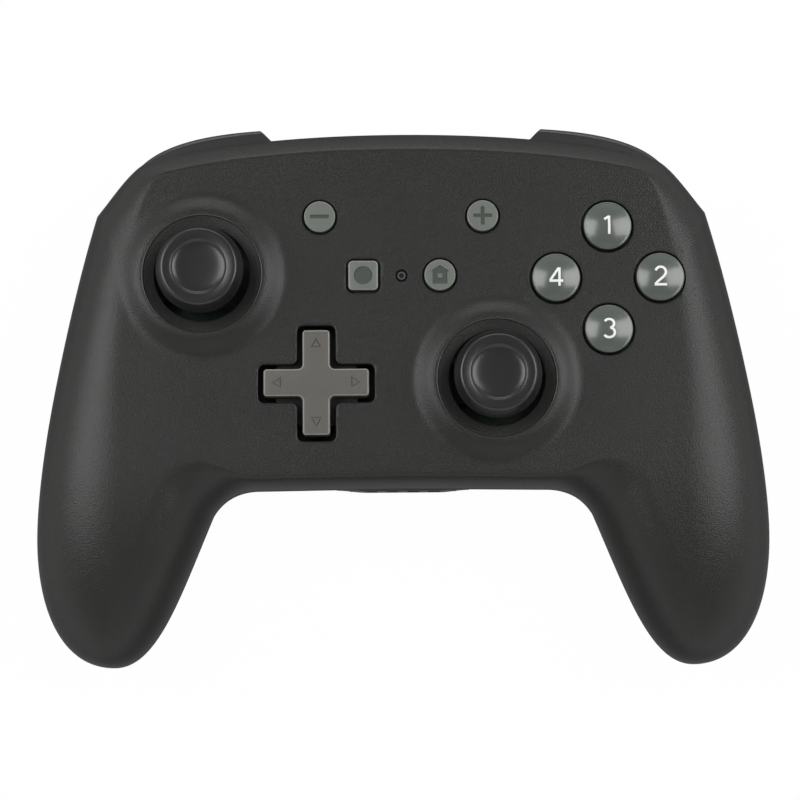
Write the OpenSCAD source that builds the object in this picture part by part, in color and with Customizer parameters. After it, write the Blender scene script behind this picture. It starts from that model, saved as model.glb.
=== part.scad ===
// Wireless gamepad controller lying on its back with its face up, in millimetres.
// +X is to its right, +Y towards the shoulder buttons and +Z out of its face.
// The origin is on the outer face of the battery door, on which the part rests.

/* [Shell outline] */
// Width over both grips
grip_span = 153; // [149:0.5:158]
// Y of the line where the grips are widest
grip_widest_y = -46.7; // [-49:0.1:-44]
// X of a grip's tip
grip_tip_x = 60.9; // [59.5:0.1:63]
// Y of the grips' tips
grip_tip_y = -72.3; // [-77:0.1:-70]
// X of the shoulder where the side begins
shoulder_x = 63.7; // [62.5:0.1:65]
// Y of that shoulder
shoulder_y = 21.9; // [20:0.1:23.5]
// X of the corner at the outer end of a bumper
corner_x = 53.5; // [53:0.1:54.5]
// Y of that corner
corner_y = 31.9; // [31.2:0.1:32.6]
// Y of the top edge at the middle
top_y = 37.6; // [37:0.1:38.4]
// X of the inner corner between body and grip
crotch_x = 39.7; // [38.5:0.1:40.8]
// Y of that inner corner
crotch_y = -40.8; // [-42.5:0.1:-40]
// X where the straight bottom edge ends
waist_x = 30.7; // [29:0.1:32]
// Y where the straight bottom edge ends
waist_y = -35.7; // [-36.4:0.1:-35.1]
// Y of the bottom edge at the middle
bottom_y = -35.4; // [-36:0.1:-34.8]

/* [Shell section] */
// Height of the face
face_z = 34; // [33:0.5:36]
// Height of the seam between the shells on the body
seam_z = 21; // [20:0.5:22]
// Height of the seam at the grip tips
tip_seam_z = 13; // [11:0.5:15]
// Fall of the face at the grip tips
grip_drop = 9; // [6:0.5:11]
// Wall of both shells
wall = 2.2; // [1.8:0.1:2.4]
// Gap between the shells at the seam
seam_gap = 0.2; // [0.1:0.05:0.4]
// Width of the chamfer along the top edge
top_chamfer = 3.8; // [3:0.1:5]
// Height of the upright rim under that chamfer
top_rim = 9; // [8.5:0.1:9.5]
// Width over which the sides roll down
side_roll = 18; // [14:0.5:20]
// Width over which the bottom edge rounds
bottom_round = 4; // [3:0.5:6]
// Width over which the inner sides of the grips round
inner_roll = 12; // [9:0.5:14]
// Width over which the back rounds at the top edge
back_top_roll = 20; // [17:0.5:20]
// Width over which the back rounds elsewhere
back_roll = 14; // [12:0.5:14]
// Depth of the finger scoops in the back, under the shoulders
scoop_depth = 8; // [5:0.5:9]

/* [Battery] */
// Diameter of a cell
cell_d = 14.4; // [13.8:0.1:14.6]
// Length of a cell with its nub
cell_l = 50.5; // [49:0.1:51.5]
// Distance between the axes of the cells
cell_pitch = 15; // [14.8:0.1:15.6]
// Y of the middle of the battery tray
bay_y = -2; // [-3:0.5:-1]
// Length of a battery spring under load
spring_l = 5; // [4:0.1:6]
// Thickness of the battery door
door_t = 2.2; // [2:0.1:2.4]
// Overlap of the battery door past each end of the tray
door_lap = 0.7; // [0.5:0.1:1.2]
// Radius of the door's hinge pegs
peg_r = 0.7; // [0.5:0.05:0.75]
// Wall of the battery tray
tray_t = 1.5; // [1.2:0.1:1.7]

/* [Board and screws] */
// Thickness of the main board
board_t = 1.6; // [1.2:0.1:2]
// Height of the board's posts above the tray
post_h = 2.2; // [1.8:0.1:2.6]
// Radius of the screw bosses
boss_r = 3; // [2.8:0.1:3.2]
// Radius of a screw's shank
screw_r = 1.2; // [1:0.05:1.4]
// Radius of a screw's head
head_r = 2.1; // [1.9:0.1:2.3]

/* [Sticks] */
// X of the left stick
left_stick_x = -41; // [-42:0.1:-40.5]
// Y of the left stick
left_stick_y = 7.7; // [6.5:0.1:8]
// X of the right stick
right_stick_x = 19.4; // [18.8:0.1:20.5]
// Y of the right stick
right_stick_y = -14.2; // [-14.6:0.1:-13.4]
// Radius of the hole that a stick stands in
stick_hole_r = 9.8; // [9.4:0.1:10.4]
// Radius of the crest of the ring round that hole
crest_r = 12.2; // [11.8:0.1:12.8]
// Height of that crest above the face
crest_h = 1.8; // [1.2:0.1:2.2]
// Radius at which that ring runs out into the face
ring_r = 17.6; // [16.5:0.1:18]
// Radius of a stick's cap at its widest
cap_r = 9; // [8.4:0.1:9.4]
// Height of a cap's lower edge above the crest
cap_lift = 5.2; // [4.8:0.1:6.5]
// Height of a cap from its lower edge to its rim
cap_h = 5; // [4.4:0.1:6]
// Radius of the dish in a cap
dish_r = 5.9; // [5:0.1:6.4]
// Height of a stick's pivot above the board
pivot_h = 4.5; // [4.2:0.1:5]
// Radius of a stick's lever
lever_r = 1.5; // [1.3:0.05:1.6]
// Outer radius of the dome under a cap
dome_r = 9.5; // [9.3:0.1:9.8]
// Side of a stick's housing
housing_w = 10.4; // [10:0.1:10.6]

/* [Buttons] */
// X of the middle of the four face buttons
face_x = 42.5; // [41.5:0.1:43]
// Y of the middle of the four face buttons
face_y = 6.6; // [6:0.1:7.5]
// Distance of each face button from that middle
face_pitch = 10.7; // [10.3:0.1:11]
// Radius of a face button
face_r = 4.95; // [4.6:0.05:5.1]
// Height of a face button's edge above the face
face_rise = 1.3; // [1:0.1:2]
// Height of the dome on a face button
face_dome = 0.7; // [0.3:0.1:1]
// Gap round every button in its hole
button_gap = 0.4; // [0.3:0.05:0.5]
// X of the plus button, mirrored for the minus button
sign_x = 16.8; // [16.2:0.1:17.4]
// Y of the plus and minus buttons
sign_y = 19.6; // [19:0.1:20.2]
// X of the home button, mirrored for the capture button
menu_x = 7.9; // [7.4:0.1:8.6]
// Y of the home and capture buttons and of the status light
menu_y = 7.3; // [6.5:0.1:8]
// Radius of the round system buttons
system_r = 3.2; // [2.9:0.05:3.3]
// Side of the square capture button
capture_w = 6.1; // [5.6:0.1:6.3]
// Height of the system buttons above the face
system_rise = 0.9; // [0.6:0.1:1.3]
// Travel of a system button
system_travel = 0.5; // [0.3:0.1:0.6]
// Radius of the status light
light_r = 1; // [0.8:0.05:1.2]

/* [Directional cross] */
// X of the cross
dpad_x = -17.6; // [-18.2:0.1:-17]
// Y of the cross
dpad_y = -14.9; // [-15.8:0.1:-14.6]
// Span of the cross from arm end to arm end
dpad_span = 21.6; // [20.8:0.1:22]
// Width of an arm
dpad_w = 5.6; // [5.2:0.1:6]
// Gap round the cross in its hole
dpad_gap = 1.1; // [1:0.05:1.3]
// Height of the cross above the face
dpad_rise = 1.8; // [1.4:0.1:2.4]
// Radius of the flange under the cross
dpad_flange_r = 9; // [8.4:0.1:9.2]
// Radius of the ball that the cross rocks on
ball_r = 2; // [1.8:0.05:2.1]

/* [Shoulders] */
// X of the inner end of a bumper's outer edge
bumper_in_x = 29.4; // [29:0.1:30]
// Y of the inner end of a bumper's outer edge
bumper_in_y = 39.2; // [38.8:0.1:39.6]
// X of the outer end of a bumper's outer edge
bumper_out_x = 54.3; // [53.9:0.1:54.7]
// Y of the outer end of a bumper's outer edge
bumper_out_y = 31.8; // [31.4:0.1:32.2]
// Depth of a bumper from its outer edge inwards
bumper_depth = 7; // [6.5:0.1:7.2]
// Height of a bumper
bumper_h = 7.7; // [7:0.1:7.8]
// Radius of a bumper's pivot pin
bumper_pin_r = 1; // [0.8:0.05:1.1]
// X of the middle of a trigger's pin
trigger_x = 41.5; // [41:0.1:42]
// Y of the middle of a trigger's pin
trigger_y = 29; // [28.6:0.1:29.4]
// Turn of a trigger about the vertical
trigger_yaw = 10; // [8:0.5:12]
// Width of a trigger
trigger_w = 21; // [20:0.5:21.5]
// Reach of a trigger's finger face in front of its pin, at its middle
trigger_reach = 10.1; // [9.8:0.1:10.6]
// Depth of a trigger's lip below its pin
trigger_low = 11; // [10:0.1:11.4]
// Radius of a trigger's pin
trigger_pin_r = 1; // [0.8:0.05:1.1]

/* [Player lights] */
// Length of the strip with the player lights
strip_l = 28; // [26:0.5:29]
// Height of that strip
strip_h = 5; // [4.5:0.1:5.5]
// Distance between the player lights
lamp_pitch = 4.4; // [4.2:0.1:4.8]
// Length of a player light
lamp_l = 2.3; // [1.8:0.1:2.6]

/* [Hidden] */
$fn = 64;

// Overshoot of a cut past the face that it goes through
over = 1;
// Clearance of a running fit and of a seated fit, both radial
run_fit = 0.05;
seat_fit = 0.02;
// Clearance between pieces that pass each other
clear = 0.3;

// Colours
body_black = [0.08, 0.08, 0.08];
back_black = [0.06, 0.06, 0.06];
button_grey = [0.2, 0.21, 0.2];
cap_grey = [0.13, 0.13, 0.13];
board_green = [0.03, 0.12, 0.06];
rubber_black = [0.05, 0.05, 0.05];
steel = [0.7, 0.7, 0.72];
plain_black = [0.03, 0.03, 0.03];
cell_colour = [0.55, 0.5, 0.3];
lamp_colour = [0.03, 0.03, 0.03];

// Points of the outline and the handles of the curves that join them
corner = [corner_x, corner_y];
shoulder = [shoulder_x, shoulder_y];
widest = [grip_span/2, grip_widest_y];
tip = [grip_tip_x, grip_tip_y];
crotch = [crotch_x, crotch_y];
waist = [waist_x, waist_y];
top_middle = [0, top_y];
bottom_middle = [0, bottom_y];
top_out = [21.6, 0];
corner_in = [-12.2, 3.7];
corner_out = [3.35, -1.55];
shoulder_in = [-3.15, 3.45];
shoulder_out = [3.5, -9.7];
widest_in = [0, 17.7];
widest_out = [0, -16.3];
tip_in = [9.2, 0];
tip_out = [-8.9, 0];
crotch_out = [7.45, -16.9];
crotch_in = [-2.1, 3.4];
waist_out = [3.8, -0.2];
bottom_out = [10, 0];
waist_in = [-9.6, 0.1];

// Steps along each curve: the outer edge and the inner edge have as many in all
top_steps = 10;
corner_steps = 3;
side_steps = 6;
end_steps = 10;
crotch_steps = 7;
inside_steps = 12;
last = top_steps + corner_steps + side_steps + end_steps - 1;

// Where the grips begin to fall, at the seam and at the face
seam_fall_y = -18;
face_fall_y = -30;
// Power of the rounded edges and height of the upright rim at the seam
round_power = 2.2;
edge_rim = 0.8;
bottom_rim = 3;
// Steps across a rounded edge and across the middle
edge_steps = 6;
front_steps = 2;
back_steps = 5;
// Ribs lean against the outline, so the wall is drawn in a little further along them
lean = 1.1;
// Where the finger scoops begin in the back, and how far they take to reach their depth
scoop_x = 36;
scoop_blend = 10;
scoop_y = -22;
scoop_run = 25;

// Heights
inner_z = face_z - wall;
cell_z = door_t + clear + cell_d/2;
tray_top = cell_z + cell_d/2 + clear + tray_t;
board_z = tray_top + post_h;
board_top = board_z + board_t;
pivot_z = board_top + pivot_h;
crest_z = face_z + crest_h;
cap_z = crest_z + cap_lift - pivot_z;
bracket_t = 1.4;
bracket_drop = 0.8;
bracket_top = seam_z - bracket_drop;
bracket_z = bracket_top - bracket_t;

// Battery bay and door
contact_t = 0.5;
contact_w = 10;
bay_l = cell_l + spring_l + 2*(contact_t + seat_fit);
bay_w = cell_pitch + cell_d + 2*clear;
door_l = bay_l + 2*door_lap;
door_margin = 1;
hinge_margin = 1.8;
door_in_y = bay_y - bay_w/2 - door_margin;
hinge_y = bay_y + bay_w/2 + hinge_margin;
hinge_z = door_t/2;
peg_l = 1.6;
latch_w = 12;
latch_t = 1;
flange_w = 3.6;
flange_l = 24;
post_r = 2;
post_x = bay_l/2 - 2*post_r;
post_y = bay_w/2 - 2*post_r;
cell_l_nub = 1.5;
nub_r = 2.7;
spring_r = 4;
spring_tip_r = 2;

// Screws: places, height of the seat under the seam and depth above it
screw_at = [[20.5, 28.5], [61, -4], [30, -30.5], [57.5, -50]];
seat_depth = 7;
bite = 5.5;
head_h = 1.6;
head_gap = 0.4;
shank_gap = 0.25;
board_gap = 0.6;

// Sticks
click = 0.5;
housing_t = 1;
yoke_gap = 0.4;
yoke_end = 1.2;
yoke_l = housing_w - 2*(housing_t + yoke_gap);
yoke_slot = yoke_l - 2*yoke_end;
yoke_w = 5.4;
yoke_t = 2.6;
axle_r = 1;
cross_r = 0.7;
housing_top = 2.2;
sensor_w = 9;
sensor_t = 3.6;
sensor_h = 5.4;
dome_t = 0.9;
dome_angle = 56;
neck_r = 4;
hub_r = 3;
hub_z = 4.5;
cap_wall = 1.4;
socket_gap = 0.3;
cap_rim = 1.6;
dish_depth = 0.9;
dish_lip = 0.3;
cap_under = 1.2;
cap_flare = 0.2;
cap_bulge = 0.3;
cap_taper = 0.6;
rim_round = 0.4;
rim_crown = 0.1;
cap_steps = 6;
dome_step = 6;
crest_flat = 0.2;
funnel_drop = 0.7;
ring_steps = 8;
skirt = 2.4;

// Buttons
flange_t = 1.4;
flange_out = 0.9;
flange_drop = 2.5;
stem_r = 3;
stem_l = 2;
button_round = 0.5;
mat_t = 1;
mat_r = 5.5;
mat_core_r = 9;
dome_foot_r = 4.4;
system_stem_r = 1.4;
system_flange_out = 1;
switch_w = 4.4;
switch_h = 2.4;
plunger_r = 1;
plunger_h = 0.9;
switch_gap = 0.2;
corner_r = 1;
light_flange_r = 1.8;
light_flange_t = 1.2;
light_fit = 0.05;

// Main board
board_margin = 0.5;
board_half_x = face_x + face_pitch + mat_r + board_margin;
board_in_y = -31;
board_in_x = 33;
board_out_y = -12;
board_cut_y = 14;
board_cut_x = 51;
board_top_y = sign_y + switch_w/2 + board_margin;

// Directional cross
dpad_drop = 1.1;
dpad_flange_t = 1.3;
ball_drop = 1.6;
ball_z = inner_z - dpad_drop - dpad_flange_t - ball_drop;
hub_out = 1.4;
arm_r = 0.6;
pad_out = 6.3;
pad_r = 1.4;
pad_foot_r = 2;
dpad_mat_r = 9.4;

// Shoulders
bumper_lift = 0.5;
bumper_z = bracket_top + bumper_lift;
bumper_in = [bumper_in_x, bumper_in_y];
bumper_out = [bumper_out_x, bumper_out_y];
bumper_bend_in = [8, -0.5];
bumper_bend_out = [-5.5, 5.6];
bumper_steps = 9;
bumper_round = 1.4;
bumper_pin_back = 6.2;
bumper_pin = [bumper_in_x, bumper_in_y - bumper_pin_back];
bumper_boss_r = 2.2;
bumper_room = 2.2;
bumper_front = 6;
bumper_gaps = [0.6, 0.9];
bumper_top_gap = 0.35;
curve_bit = 0.01;
trigger_drop = 5.2;
trigger_z = bracket_z - trigger_drop;
barrel_r = 2.6;
barrel_gap = 6;
trigger_top = 4.2;
trigger_fall = 1.1;
trigger_bow = 0.9;
trigger_rows = 8;
trigger_thick = 3.2;
trigger_back = 2;
trigger_top_in = 1.6;
trigger_lip_in = 0.8;
trigger_lip_h = 1.6;
// Handles of a trigger's curves, as shares of its depth for the finger face and of its thickness
// for the lip and the back
face_top_bend = [0.16, -0.23];
face_low_bend = [0.11, 0.5];
lip_out_bend = [-0.09, -0.65];
lip_in_bend = [0.16, -0.6];
back_low_bend = [-0.38, 0.81];
back_top_bend = [0.94, -1.46];
trigger_steps = 8;
pin_end = 0.3;
tail_l = 5.5;
tail_w = 6;
tail_t = 1.2;
ear_t = 1.2;
ear_gap = 0.4;
ear_r = 2.8;
plate_in = -16.6;
plate_back = -6.6;
plate_front = 4.6;
pocket_room = 0.8;
shoulder_switch_w = 5;
shoulder_switch_t = 2.4;
shoulder_switch_h = 4;
bumper_switch_y = -3.4;
trigger_switch_in = 0.4;
boss_gap = 0.35;
spring_coil_r = 2.2;

// Player lights
strip_z = 12.8;
strip_out = 0.15;
strip_in = 0.35;
strip_run = 6.3;
strip_back = 1.3;
strip_steps = 24;
plug_end = 2.8;
plug_side = 0.8;
lamp_h = 3.2;
lamp_t = 1.2;
lamp_sink = 0.15;

function mix(a, b, t) = a + (b - a)*t;
function ease(t) = let (u = min(1, max(0, t))) u*u*(3 - 2*u);
function bezier(p, t) =
  pow(1 - t, 3)*p[0] + 3*t*pow(1 - t, 2)*p[1] + 3*t*t*(1 - t)*p[2] + pow(t, 3)*p[3];
function curve(p, n) = [for (i = [0:n - 1]) bezier(p, i/n)];
function back_to_front(list) = [for (i = [len(list) - 1:-1:0]) list[i]];
function flipped(ring) = back_to_front([for (p = ring) [-p.x, p.y, p.z]]);

// The body is a row of ribs. Each joins a point of the outer edge, from the top middle round to
// the grip's tip, to the matching point of the inner edge, from the bottom middle to the same tip.
outer_edge = concat(
  curve([top_middle, top_middle + top_out, corner + corner_in, corner], top_steps),
  curve([corner, corner + corner_out, shoulder + shoulder_in, shoulder], corner_steps),
  curve([shoulder, shoulder + shoulder_out, widest + widest_in, widest], side_steps),
  curve([widest, widest + widest_out, tip + tip_in, tip], end_steps));
inner_edge = concat(
  curve([bottom_middle, bottom_middle + bottom_out, waist + waist_in, waist], top_steps),
  curve([waist, waist + waist_out, crotch + crotch_in, crotch], crotch_steps),
  curve([crotch, crotch + crotch_out, tip + tip_out, tip], inside_steps));

function seam_at(y) =
  mix(seam_z, tip_seam_z, ease((seam_fall_y - y)/(seam_fall_y - grip_tip_y)));
function face_at(y) =
  face_z - grip_drop*pow(max(0, (face_fall_y - y)/(face_fall_y - grip_tip_y)), 2);
function scoop_at(p) =
  scoop_depth*ease((abs(p.x) - scoop_x)/scoop_blend)*ease((p.y - scoop_y)/scoop_run);
function top_share(j) = 1 - ease((j - top_steps + 1)/(corner_steps + 2));
function bottom_share(j) = 1 - ease((j - top_steps)/crotch_steps);

function rib_length(j) = norm(inner_edge[j] - outer_edge[j]);
function rib_point(j, s) = mix(outer_edge[j], inner_edge[j], s/rib_length(j));
function rib_seam(j, s) =
  mix(seam_at(outer_edge[j].y), seam_at(inner_edge[j].y), s/rib_length(j));
function rise(t, p) = t >= 1 ? 1 : t <= 0 ? 0 : pow(1 - pow(1 - t, p), 1/p);
function stations(j, inset, w_out, w_in, middle) =
  let (l = rib_length(j), free = l - 2*inset, a = min(w_out, free*0.48), b = min(w_in, free*0.48))
  concat(
    [for (i = [0:edge_steps]) inset + a*(1 - cos(90*i/edge_steps))],
    [for (i = [1:middle]) inset + a + (free - a - b)*i/(middle + 1)],
    [for (i = [edge_steps:-1:0]) l - inset - b*(1 - cos(90*i/edge_steps))]);
function with_rim(rim, e) = rim + (1 - rim)*e;

function front_rolls(j) = [mix(side_roll, top_chamfer, top_share(j)),
  mix(inner_roll, bottom_round, bottom_share(j))];
function front_z(j, s, inset, skin) =
  let (h = face_at(rib_point(j, s).y) - skin - rib_seam(j, s), rolls = front_rolls(j),
    rim_out = max(mix(edge_rim, top_rim, top_share(j)) - skin, edge_rim/2)/h,
    rim_in = max(mix(edge_rim, bottom_rim, bottom_share(j)) - skin, edge_rim/2)/h,
    power = mix(round_power, 1, top_share(j)))
  rib_seam(j, s)
    + h*with_rim(rim_out, rise((s - inset)/rolls[0], power))
    *with_rim(rim_in, rise((rib_length(j) - inset - s)/rolls[1], round_power));
function back_rolls(j) = [mix(back_roll, back_top_roll, top_share(j)), back_roll];
function back_z(j, s, inset, skin) =
  let (h = rib_seam(j, s) - scoop_at(rib_point(j, s)) - skin, rolls = back_rolls(j))
  rib_seam(j, s)
    - h*with_rim(edge_rim/h, rise((s - inset)/rolls[0], round_power))
    *with_rim(edge_rim/h, rise((rib_length(j) - inset - s)/rolls[1], round_power));

function foot(j, s, z) = let (p = rib_point(j, s)) [p.x, p.y, rib_seam(j, s) + z];
function front_ring(j, inset, skin, z) =
  let (rolls = front_rolls(j), l = rib_length(j)) concat(
    [foot(j, inset, z)],
    [for (s = stations(j, inset, rolls[0], rolls[1], front_steps))
      let (p = rib_point(j, s)) [p.x, p.y, front_z(j, s, inset, skin)]],
    [foot(j, l - inset, z)]);
function back_ring(j, inset, skin, z) =
  let (rolls = back_rolls(j), l = rib_length(j)) back_to_front(concat(
    [foot(j, inset, -z)],
    [for (s = stations(j, inset, rolls[0], rolls[1], back_steps))
      let (p = rib_point(j, s)) [p.x, p.y, back_z(j, s, inset, skin)]],
    [foot(j, l - inset, -z)]));
function mirrored(rings) = concat(
  [for (j = [len(rings) - 1:-1:1]) back_to_front(flipped(rings[j]))], rings);

// A closed skin over a row of rings, closed at its ends by the rings or by points beyond them
module skin(rings, ends = []) {
  m = len(rings[0]);
  n = len(rings);
  sides = [for (r = [0:n - 2]) for (i = [0:m - 1]) let (a = r*m + i, b = r*m + (i + 1)%m)
    each [[a, a + m, b], [b, a + m, b + m]]];
  first = len(ends) > 0 ? [for (i = [0:m - 1]) [i, (i + 1)%m, n*m]] : [[for (i = [0:m - 1]) i]];
  final = len(ends) > 0
    ? [for (i = [0:m - 1]) [(n - 1)*m + (i + 1)%m, (n - 1)*m + i, n*m + 1]]
    : [[for (i = [m - 1:-1:0]) (n - 1)*m + i]];
  polyhedron(concat([for (r = rings) each r], ends), concat(sides, first, final));
}

module both_sides() {
  children();
  mirror([1, 0, 0]) children();
}

module rounded_square(w, h, r) {
  square([w - 2*r, h], center = true);
  square([w, h - 2*r], center = true);
  for (x = [-1, 1], y = [-1, 1]) translate([x*(w/2 - r), y*(h/2 - r)]) circle(r);
}

module cross_shape(span, width, r) {
  rounded_square(span, width, r);
  rounded_square(width, span, r);
}

// Shells

module front_body() {
  z = seam_gap/2;
  rings = mirrored([for (j = [0:last]) front_ring(j, 0, 0, z)]);
  skin(rings, [[-tip.x, tip.y, tip_seam_z + z], [tip.x, tip.y, tip_seam_z + z]]);
}

module front_hollow() {
  skin(mirrored([for (j = [0:last - 2]) front_ring(j, wall*lean, wall, -over)]));
}

module back_body() {
  z = seam_gap/2;
  rings = mirrored([for (j = [0:last]) back_ring(j, 0, 0, z)]);
  skin(rings, [[-tip.x, tip.y, tip_seam_z - z], [tip.x, tip.y, tip_seam_z - z]]);
}

module back_hollow() {
  skin(mirrored([for (j = [0:last - 2]) back_ring(j, wall*lean, wall, -over)]));
}

module at_screws() {
  both_sides() for (p = screw_at) translate([p.x, p.y, seam_at(p.y)]) children();
}

module stick_ring(x, y) {
  slope = [for (i = [0:ring_steps]) let (t = i/ring_steps)
    [mix(crest_r + crest_flat, ring_r, t), face_z + crest_h*(1 + cos(180*t))/2]];
  translate([x, y, 0]) rotate_extrude() polygon(concat(
    [[stick_hole_r, inner_z], [stick_hole_r, crest_z - funnel_drop], [crest_r, crest_z]],
    slope,
    [[ring_r + skirt/2, face_z - skirt], [ring_r - skirt, inner_z]]));
}

module stick_hole(x, y) {
  translate([x, y, inner_z - wall]) cylinder(h = 3*wall, r = stick_hole_r);
  translate([x, y, crest_z - funnel_drop])
    cylinder(h = funnel_drop + over, r1 = stick_hole_r,
      r2 = stick_hole_r + (crest_r - stick_hole_r)*(1 + over/funnel_drop));
}

module face_holes(h) {
  for (a = [0:90:270]) translate([face_x, face_y]) rotate(a) translate([face_pitch, 0])
    cylinder(h = h, r = face_r + button_gap);
  for (x = [-sign_x, sign_x]) translate([x, sign_y]) cylinder(h = h, r = system_r + button_gap);
  translate([menu_x, menu_y]) cylinder(h = h, r = system_r + button_gap);
  translate([-menu_x, menu_y]) linear_extrude(h)
    rounded_square(capture_w + 2*button_gap, capture_w + 2*button_gap, corner_r + button_gap);
  translate([0, menu_y]) cylinder(h = h, r = light_r + light_fit);
  translate([dpad_x, dpad_y]) linear_extrude(h)
    cross_shape(dpad_span + 2*dpad_gap, dpad_w + 2*dpad_gap, arm_r + dpad_gap/2);
}

module front_shell() {
  color(body_black) difference() {
    union() {
      front_body();
      stick_ring(left_stick_x, left_stick_y);
      stick_ring(right_stick_x, right_stick_y);
    }
    difference() {
      front_hollow();
      at_screws() translate([0, 0, -2*over]) cylinder(h = face_z, r = boss_r);
    }
    at_screws() translate([0, 0, -over]) cylinder(h = bite + over + clear, r = screw_r + seat_fit);
    stick_hole(left_stick_x, left_stick_y);
    stick_hole(right_stick_x, right_stick_y);
    translate([0, 0, inner_z - wall]) face_holes(3*wall);
    both_sides() bumper_pocket();
  }
}

module rear_shell() {
  color(back_black) difference() {
    back_body();
    difference() {
      back_hollow();
      at_screws() translate([0, 0, -face_z]) cylinder(h = 2*face_z, r = boss_r);
    }
    both_sides() translate([screw_at[0].x, screw_at[0].y, bracket_z])
      cylinder(h = seam_z, r = boss_r + clear);
    at_screws() {
      translate([0, 0, -seat_depth - over])
        cylinder(h = seat_depth + 2*over, r = screw_r + shank_gap);
      translate([0, 0, -face_z]) cylinder(h = face_z - seat_depth, r = head_r + head_gap);
    }
    door_opening();
    both_sides() shoulder_frame() trigger_pocket();
    translate([0, bottom_y, strip_z]) {
      cube([strip_l - 2*plug_end + 2*seat_fit, 4*wall, strip_h - 2*plug_side + 2*seat_fit],
        center = true);
      cube([strip_l + 2*seat_fit, 2*(strip_back + seat_fit), strip_h + 2*seat_fit], center = true);
    }
  }
}

// Battery

module door_opening() {
  y0 = door_in_y - clear;
  y1 = hinge_y + hinge_z + clear;
  translate([-door_l/2 - clear, y0, -over]) cube([door_l + 2*clear, y1 - y0, wall + 2*over]);
  translate([-latch_w/2 - clear, y0 - latch_t - clear, -over])
    cube([latch_w + 2*clear, 2*latch_t + clear, wall + 2*over]);
  translate([0, hinge_y, hinge_z]) rotate([0, 90, 0])
    cylinder(h = door_l + 2*(peg_l + clear), r = peg_r + run_fit, center = true);
}

module battery_door() {
  color(back_black) {
    translate([-door_l/2, door_in_y, 0]) cube([door_l, hinge_y - door_in_y, door_t]);
    translate([0, hinge_y, hinge_z]) rotate([0, 90, 0])
      cylinder(h = door_l, r = hinge_z, center = true);
    translate([0, hinge_y, hinge_z]) rotate([0, 90, 0])
      cylinder(h = door_l + 2*peg_l, r = peg_r, center = true);
    translate([-latch_w/2, door_in_y - latch_t, 0]) cube([latch_w, 2*latch_t, door_t]);
  }
}

module battery_tray() {
  floor_z = wall + clear;
  color(plain_black) {
    difference() {
      translate([-bay_l/2 - tray_t, bay_y - bay_w/2 - tray_t, floor_z])
        cube([bay_l + 2*tray_t, bay_w + 2*tray_t, tray_top - floor_z]);
      translate([-bay_l/2, bay_y - bay_w/2, 0])
        cube([bay_l, bay_w, tray_top - tray_t]);
    }
    both_sides() translate([bay_l/2 + tray_t - over, bay_y - flange_l/2, wall + 2*run_fit])
      cube([flange_w + over, flange_l, tray_t]);
    for (x = [-post_x, post_x], y = [-post_y, post_y]) translate([x, bay_y + y, tray_top - over])
      cylinder(h = post_h + over, r = post_r);
  }
}

// One cell with its nub towards +X
module cell() {
  l = cell_l - cell_l_nub;
  rotate([0, 90, 0]) {
    translate([0, 0, -cell_l/2]) cylinder(h = l, r = cell_d/2);
    translate([0, 0, -cell_l/2]) cylinder(h = cell_l, r = nub_r);
  }
}

// Each cell lies against the plate at its nub, and the spring fills the other end
module cell_places() {
  shift = bay_l/2 - contact_t - seat_fit - cell_l/2;
  for (side = [-1, 1]) translate([0, bay_y + side*cell_pitch/2, cell_z])
    rotate(side > 0 ? 0 : 180) translate([shift, 0, 0]) children();
}

module battery_cells() {
  color(cell_colour) cell_places() cell();
}

module battery_contacts() {
  color(steel) cell_places() {
    translate([cell_l/2 + seat_fit + contact_t/2, 0, 0])
      cube([contact_t, contact_w, contact_w], center = true);
    translate([-cell_l/2 - spring_l - seat_fit - contact_t/2, 0, 0])
      cube([contact_t, contact_w, contact_w], center = true);
    translate([-cell_l/2 - seat_fit - spring_l, 0, 0]) rotate([0, 90, 0])
      cylinder(h = spring_l, r1 = spring_r, r2 = spring_tip_r);
  }
}

// Board and screws

module main_board() {
  half = [[board_cut_x, board_top_y], [board_half_x, board_cut_y],
    [board_half_x, board_out_y], [board_in_x, board_in_y]];
  color(board_green) difference() {
    translate([0, 0, board_z]) linear_extrude(board_t)
      polygon(concat(half, back_to_front([for (p = half) [-p.x, p.y]])));
    at_screws() translate([0, 0, -face_z]) cylinder(h = 2*face_z, r = boss_r + board_gap);
  }
}

module case_screws() {
  color(steel) at_screws() {
    translate([0, 0, -seat_depth]) cylinder(h = seat_depth + bite, r = screw_r);
    translate([0, 0, -seat_depth - head_h]) cylinder(h = head_h, r = head_r);
  }
}

// Sticks, each about its own pivot

module at_stick(side) {
  p = side < 0 ? [left_stick_x, left_stick_y] : [right_stick_x, right_stick_y];
  translate([p.x, p.y, pivot_z]) children();
}

module stick_housing() {
  inner = housing_w - 2*housing_t;
  h = pivot_h + housing_top;
  color(steel) difference() {
    translate([-housing_w/2, -housing_w/2, -pivot_h]) cube([housing_w, housing_w, h]);
    translate([-inner/2, -inner/2, housing_t - pivot_h]) cube([inner, inner, h]);
    rotate([0, 90, 0]) cylinder(h = 2*housing_w, r = axle_r + run_fit, center = true);
  }
}

module stick_sensor() {
  translate([-sensor_w/2, housing_w/2, -pivot_h]) cube([sensor_w, sensor_t, sensor_h]);
}

module stick_sensors() {
  color(plain_black) {
    stick_sensor();
    rotate(90) stick_sensor();
  }
}

module stick_yoke() {
  color(plain_black) difference() {
    union() {
      cube([yoke_l, yoke_w, yoke_t], center = true);
      rotate([0, 90, 0]) cylinder(h = housing_w - run_fit, r = axle_r, center = true);
    }
    cube([yoke_slot, 2*(lever_r + run_fit), 2*yoke_t], center = true);
    rotate([90, 0, 0]) cylinder(h = 2*yoke_w, r = cross_r + run_fit, center = true);
  }
}

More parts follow.
